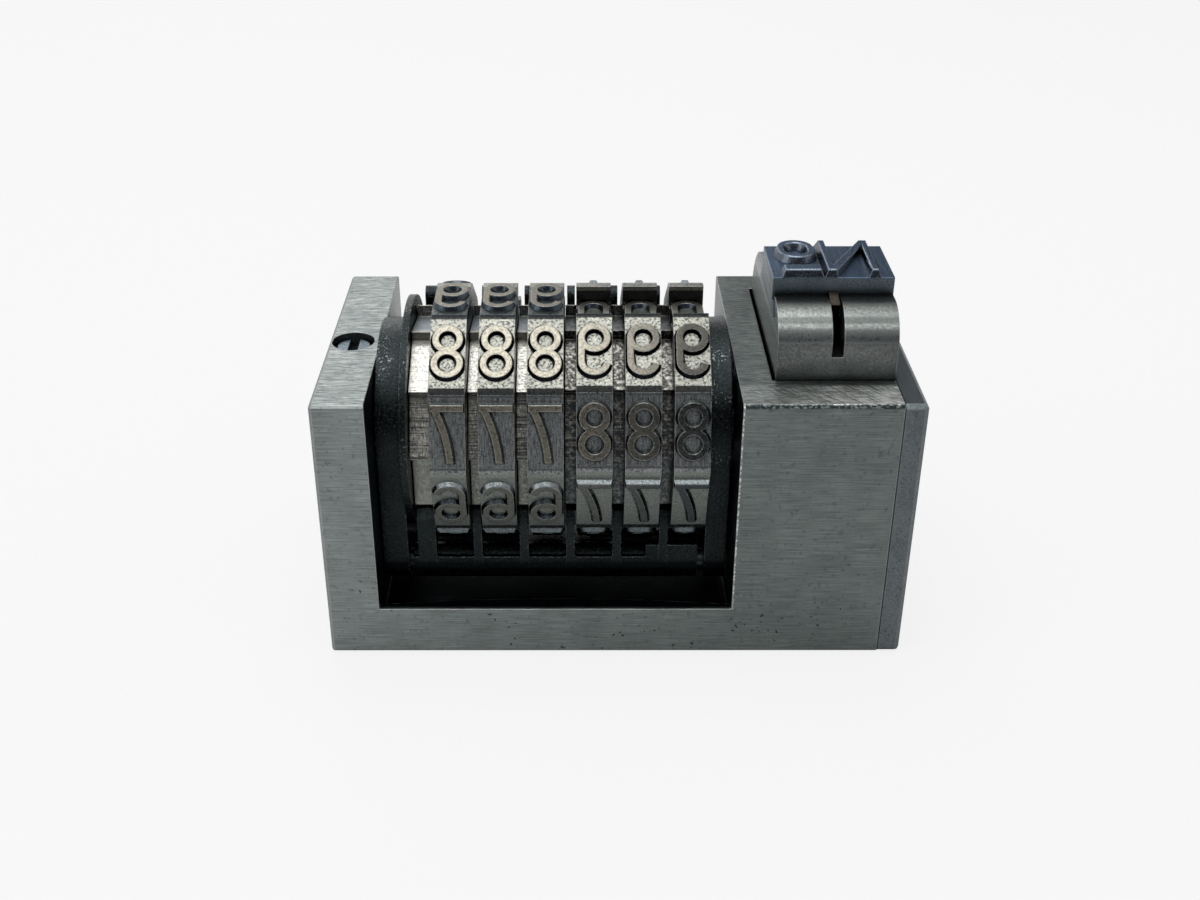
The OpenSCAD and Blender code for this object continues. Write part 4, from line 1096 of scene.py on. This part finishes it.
@dataclass
class Studio:
    """Camera, floor, world, cards and lamps.

    Attributes:
        eye_mm: the camera's place.
        down_deg: how far the camera looks down.
        left_deg: how far it looks to the left.
        roll_deg: how far it leans.
        lens_px: focal length in pixels of the full render.
        middle_px: column of the full render that the optical axis passes through.
        width_px: width of the full render.
        sensor_mm: width of the camera's sensor.
        glow: share of the floor that is plain bright paper to the camera.
        ambient: strength of the world as a light.
        backdrop: its strength to the eye and in reflections.
    """

    eye_mm: tuple[float, float, float] = (-2.612, -94.712, 63.498)
    down_deg: float = 29.318
    left_deg: float = 0.102
    roll_deg: float = 0.084
    lens_px: float = 1464.66
    middle_px: float = 576.12
    width_px: int = 1200
    sensor_mm: float = 36.0
    glow: float = 0.85
    ambient: float = 0.55
    backdrop: float = 0.93

    def camera(self) -> None:
        """Makes the camera and sets it as the scene's."""
        data = bpy.data.cameras.new("camera")
        data.sensor_width = self.sensor_mm
        data.lens = self.lens_px / self.width_px * self.sensor_mm
        data.shift_x = (self.width_px / 2 - self.middle_px) / self.width_px
        data.clip_start = 5 * MM
        eye = bpy.data.objects.new("camera", data)
        turn = (Matrix.Rotation(math.radians(self.left_deg), 4, "Z")
                @ Matrix.Rotation(math.radians(90 - self.down_deg), 4, "X")
                @ Matrix.Rotation(math.radians(-self.roll_deg), 4, "Z"))
        eye.matrix_world = Matrix.Translation(Vector(self.eye_mm) * MM) @ turn
        bpy.context.scene.collection.objects.link(eye)
        bpy.context.scene.camera = eye

    def sheet(self, name: str, half: float, paper: str) -> tuple[bpy.types.Object, Tree]:
        """Makes a flat square sheet for the set.

        Args:
            name: the sheet's name.
            half: half the length of its side.
            paper: its material's name.

        Returns:
            The sheet and the empty node tree of its material.
        """
        mesh = bmesh.new()
        bmesh.ops.create_grid(mesh, x_segments=1, y_segments=1, size=half)
        data = bpy.data.meshes.new(name)
        mesh.to_mesh(data)
        mesh.free()
        sheet = bpy.data.objects.new(name, data)
        bpy.context.scene.collection.objects.link(sheet)
        material = bpy.data.materials.new(paper)
        data.materials.append(material)
        return sheet, emptied_tree(material)

    def floor(self) -> None:
        """Makes the pale floor, a little brighter to the camera so that only the shadow shows."""
        sheet, tree = self.sheet("floor", 3.0, "paper_floor")
        sheet.location.z = CAD_BOX[0][2] - 0.02 * MM
        ray = add_node(tree, "LightPath")
        mixed = add_node(tree, "MixShader", {
            0: product(tree, ray.outputs["Is Camera Ray"], self.glow),
            1: add_node(tree, "BsdfDiffuse", {"Color": "#eeeeee"}),
            2: add_node(tree, "Emission", {"Color": "#fbfbfb"})})
        add_node(tree, "OutputMaterial", {"Surface": mixed})

    def world(self) -> None:
        """Makes the world: white to the eye and to glossy metal, plain grey as a light."""
        world = bpy.data.worlds.new("studio")
        bpy.context.scene.world = world
        tree = emptied_tree(world)
        ray = add_node(tree, "LightPath").outputs
        seen = ray["Is Camera Ray"]
        for other in ("Is Transmission Ray", "Is Glossy Ray"):
            seen = add_node(tree, "Math", {0: seen, 1: ray[other]}, operation="MAXIMUM")
        strength = add_node(tree, "MapRange", {
            "Value": seen, "To Min": self.ambient, "To Max": self.backdrop})
        light = add_node(tree, "Background", {"Color": "#ffffff", "Strength": strength})
        add_node(tree, "OutputWorld", {"Surface": light})

    def card(self, name: str, place_mm: Sequence[float], size_mm: tuple[float, float], colour: str) -> None:
        """Stands up one dark card, which bright metal reflects and no camera sees.

        Args:
            name: the card's name.
            place_mm: its middle.
            size_mm: its width and height; it faces along Y.
            colour: its sRGB colour.
        """
        card, tree = self.sheet(name, 0.5, f"{name}_paper")
        card.location = Vector(place_mm) * MM
        card.rotation_euler.x = math.radians(90)
        card.scale = (size_mm[0] * MM, size_mm[1] * MM, 1)
        card.visible_camera = False
        paper = add_node(tree, "BsdfDiffuse", {"Color": colour})
        add_node(tree, "OutputMaterial", {"Surface": paper})

    def lamp(
        self, name: str, place_mm: Sequence[float], aim_mm: Sequence[float],
        size_mm: tuple[float, float], radiance: float
    ) -> None:
        """Makes one softbox.

        Args:
            name: the lamp's name.
            place_mm: its middle.
            aim_mm: what it points at.
            size_mm: its width and height.
            radiance: brightness of its face, where 1 is white.
        """
        data = bpy.data.lights.new(name, "AREA")
        data.shape = "RECTANGLE"
        data.size, data.size_y = (s * MM for s in size_mm)
        data.energy = radiance * math.pi * data.size * data.size_y
        lamp = bpy.data.objects.new(name, data)
        place = Vector(place_mm) * MM
        lamp.location = place
        lamp.rotation_euler = (Vector(aim_mm) * MM - place).to_track_quat("-Z", "Y").to_euler()
        lamp.visible_camera = False
        bpy.context.scene.collection.objects.link(lamp)

    def build(self) -> None:
        """Sets up the whole studio."""
        self.camera()
        self.floor()
        self.world()
        self.card("card_front", (0, -210, 95), (600, 170), "#474c53")
        self.card("card_back", (190, 330, 200), (300, 260), "#4a5058")
        self.lamp("softbox_above", (-30, 10, 330), (0, 0, 15), (300, 200), 2.4)
        self.lamp("strip_front", (0, -215, 320), (0, 0, 15), (300, 36), 2.6)
        self.lamp("softbox_left", (-260, -120, 160), (0, 0, 12), (160, 160), 1.0)
        self.lamp("softbox_back", (-120, 345, 215), (0, 0, 15), (180, 150), 1.3)
        bpy.context.scene.view_settings.view_transform = "Standard"


# ---------------------------------------------------------------- assembly


def wheel_finishes() -> dict[str, bpy.types.Material]:
    """Builds the finishes of the wheels, their ciphers and their figures' shoulders.

    Returns:
        Each finish by the wheels' field that takes it.
    """
    # hardened and bead-blasted: bright with a fine dark grain, its type polished by the paper
    wheel = WheelSteel(
        "hardened_wheel_steel", "#a4a49c", "#383c3e", "#eeeee6", speck_mm=0.16, speck_share=0.65,
        speck_floor=0.55, roughness=0.33, relief_mm=0.015, edge_mm=0.08, corner_shade_mm=0.4,
        face_r=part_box("wheel_1_units")[1].z - SHAFT.z, film_from=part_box("wheel_4_thousands")[0].x,
        film_to=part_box("wheel_6_hundred_thousands")[0].x + 1.6 * MM)
    turned = replace(wheel, name="turned_wheel_steel", slack=math.radians(FigureWheels.slack_deg))
    # milled under the type: the slopes keep the cutter's smooth skin, with painted light and shade row by row
    shoulder = ShoulderSteel(
        "cut_shoulder_steel", "#8f989e", "#2a2f32", "#d9dddb", grain_share=0.45, roughness=0.24,
        edge_mm=0.04, edge_share=0.4, corner_shade_mm=0.3, flat_shade_rows=(
            (-180, "#b0b0b0"), (-18, "#8e9399"), (16, "#3e4144"), (53, "#a4a29c"), (88, "#f4f2ec"),
            (101.5, "#666a6c"), (122, "#c8cac8")))
    # hardened like the wheels: pale, with a little grain; its painted corner shade reaches only a little way
    cipher = WorkedSteel(
        "cipher_steel", "#b9b9ae", "#3a3d3c", "#e5e5dc", roughness=0.33, edge_mm=0.05, corner_shade_mm=0.12)
    finishes = {"steel": wheel, "turned_steel": turned, "shoulder": shoulder, "cipher": cipher}
    return {field: finish.build() for field, finish in finishes.items()}


def plunger_finishes() -> dict[str, bpy.types.Material]:
    """Builds the finishes of the plunger, the slug, its mark and the clip.

    Returns:
        Each finish by the plunger's field that takes it.
    """
    # bead-blasted all over: satin with a fine glitter of specks; the soft bands by height are painted
    # reflections of the room
    hump_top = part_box("plunger")[1].z
    painted_reflection_bands = tuple((hump_top - below * MM, tint) for below, tint in (
        (4.7, "#b3b3b3"), (2.9, "#b3b3b3"), (2.1, "#b0b0b0"), (1.95, "#f0f0f0"), (1.5, "#f0f0f0"),
        (1.25, "#cbcbcb"), (1.05, "#e6e6e6"), (0.93, "#e6e6e6"), (0.82, "#b8b8b8"), (0.6, "#b8b8b8"),
        (0.5, "#d6d6d6"), (0.4, "#c8c8c8"), (0.28, "#a8a8a8"), (0.0, "#929292")))
    satin = BandedSteel(
        "satin_plunger_steel", "#b2b7b3", "#5f6867", "#eef0ec", speck_mm=0.12, roughness=0.34,
        relief_mm=0.005, bands=painted_reflection_bands)
    # heat-blued on top: a thin oxide that turns the light blue-grey; its sides are worn back to grey
    slug_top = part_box("prefix_slug")[1].z - Plunger.relief_mm * MM
    blued = BandedSteel(
        "blued_slug_steel", "#6b7f99", "#2f3945", "#9db4cc", grain=Grain.ALONG_Y, roughness=0.36,
        bands=((slug_top - 0.06 * MM, "#f2e2c8"), (slug_top - 0.02 * MM, "#ffffff")))
    # heat-blued like the slug under it, and greyer where ink dries on the slopes
    mark = WorkedSteel(
        "blued_mark_steel", "#656d78", "#23282f", "#bccadb", grain_share=0.4, roughness=0.22,
        corner_shade_mm=0.3)
    # phosphor bronze strip, brown and lustreless under old oil; painted shade turns it black where it goes
    # down into the cut
    clip_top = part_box("slug_spring")[1].z
    clip = BandedSteel(
        "bronze_clip", "#4b463f", "#2c2722", "#8f8474", roughness=0.45,
        bands=((clip_top - 0.5 * MM, "#303032"), (clip_top - 0.36 * MM, "#ffffff")))
    finishes = {"satin": satin, "blued": blued, "clip": clip, "mark": mark}
    return {field: finish.build() for field, finish in finishes.items()}


def main() -> None:
    """Builds every sub-assembly in order."""
    logging.basicConfig(level=logging.INFO, format="%(name)s: %(message)s")
    # the bay's walls stand a little outside the swing's cheeks
    left_gap, right_gap = 0.1 * MM, 0.25 * MM
    bay_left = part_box("swing_left_cheek")[0].x - left_gap
    bay_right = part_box("swing_right_cheek")[1].x + right_gap
    # ground low-carbon steel: mid-grey, marked along its length by the surface grinder
    ground = CasingSteel(
        "ground_casing_steel", "#969d9b", "#565e5d", "#e3e9e6", grain=Grain.ALONG_X, grain_share=0.62,
        speck_mm=0.3, roughness=0.36, relief_mm=0.012, edge_mm=0.12, edge_share=0.85, corner_shade_mm=0.4,
        bay_left=bay_left, bay_right=bay_right, bare_y=SHAFT.y + 3.2 * MM,
        bare_z=SHAFT.z + 1.2 * MM).build()
    # rolled spring plate: darker and bluer than the casing, drawn front to back
    plate = WorkedSteel(
        "rolled_plate_steel", "#777e80", "#3f474a", "#ccd2d2", grain=Grain.ALONG_Y, grain_share=0.6,
        speck_share=0.5).build()
    # black oxide over hardened steel: nearly black, with an oily sheen and painted glints
    black = OxideSteel(
        "black_oxide_steel", "#1c2123", "#3f4545", "#9aa09f", grain_share=0.3, speck_mm=0.17,
        speck_share=0.6, speck_floor=0.57, roughness=0.3, relief_mm=0.03, edge_mm=0.1,
        edge_share=0.8).build()
    # drawn rod: darker grey, with its marks along it
    rod = WorkedSteel("drawn_rod_steel", "#6b7172", "#2b2f30", "#9aa1a2", grain=Grain.ALONG_X).build()
    # turned screws: smoother and a little blue from tempering
    screw = WorkedSteel("turned_screw_steel", "#6a7680", "#22282b", "#9db0b8", roughness=0.3).build()
    # tempered spring steel: dark grey with a soft shine
    leaf = WorkedSteel("tempered_leaf_steel", "#5c6164", "#262a2c", "#8d9396", roughness=0.35).build()
    Casing(ground, plate, screw).build()
    FigureWheels(black=black, shaft=rod, **wheel_finishes()).build()
    Swing(black, rod, leaf).build()
    Keepers(black, rod, leaf).build()
    Plunger(wire=leaf, **plunger_finishes()).build()
    Studio().build()


if __name__ == "__main__":
    main()
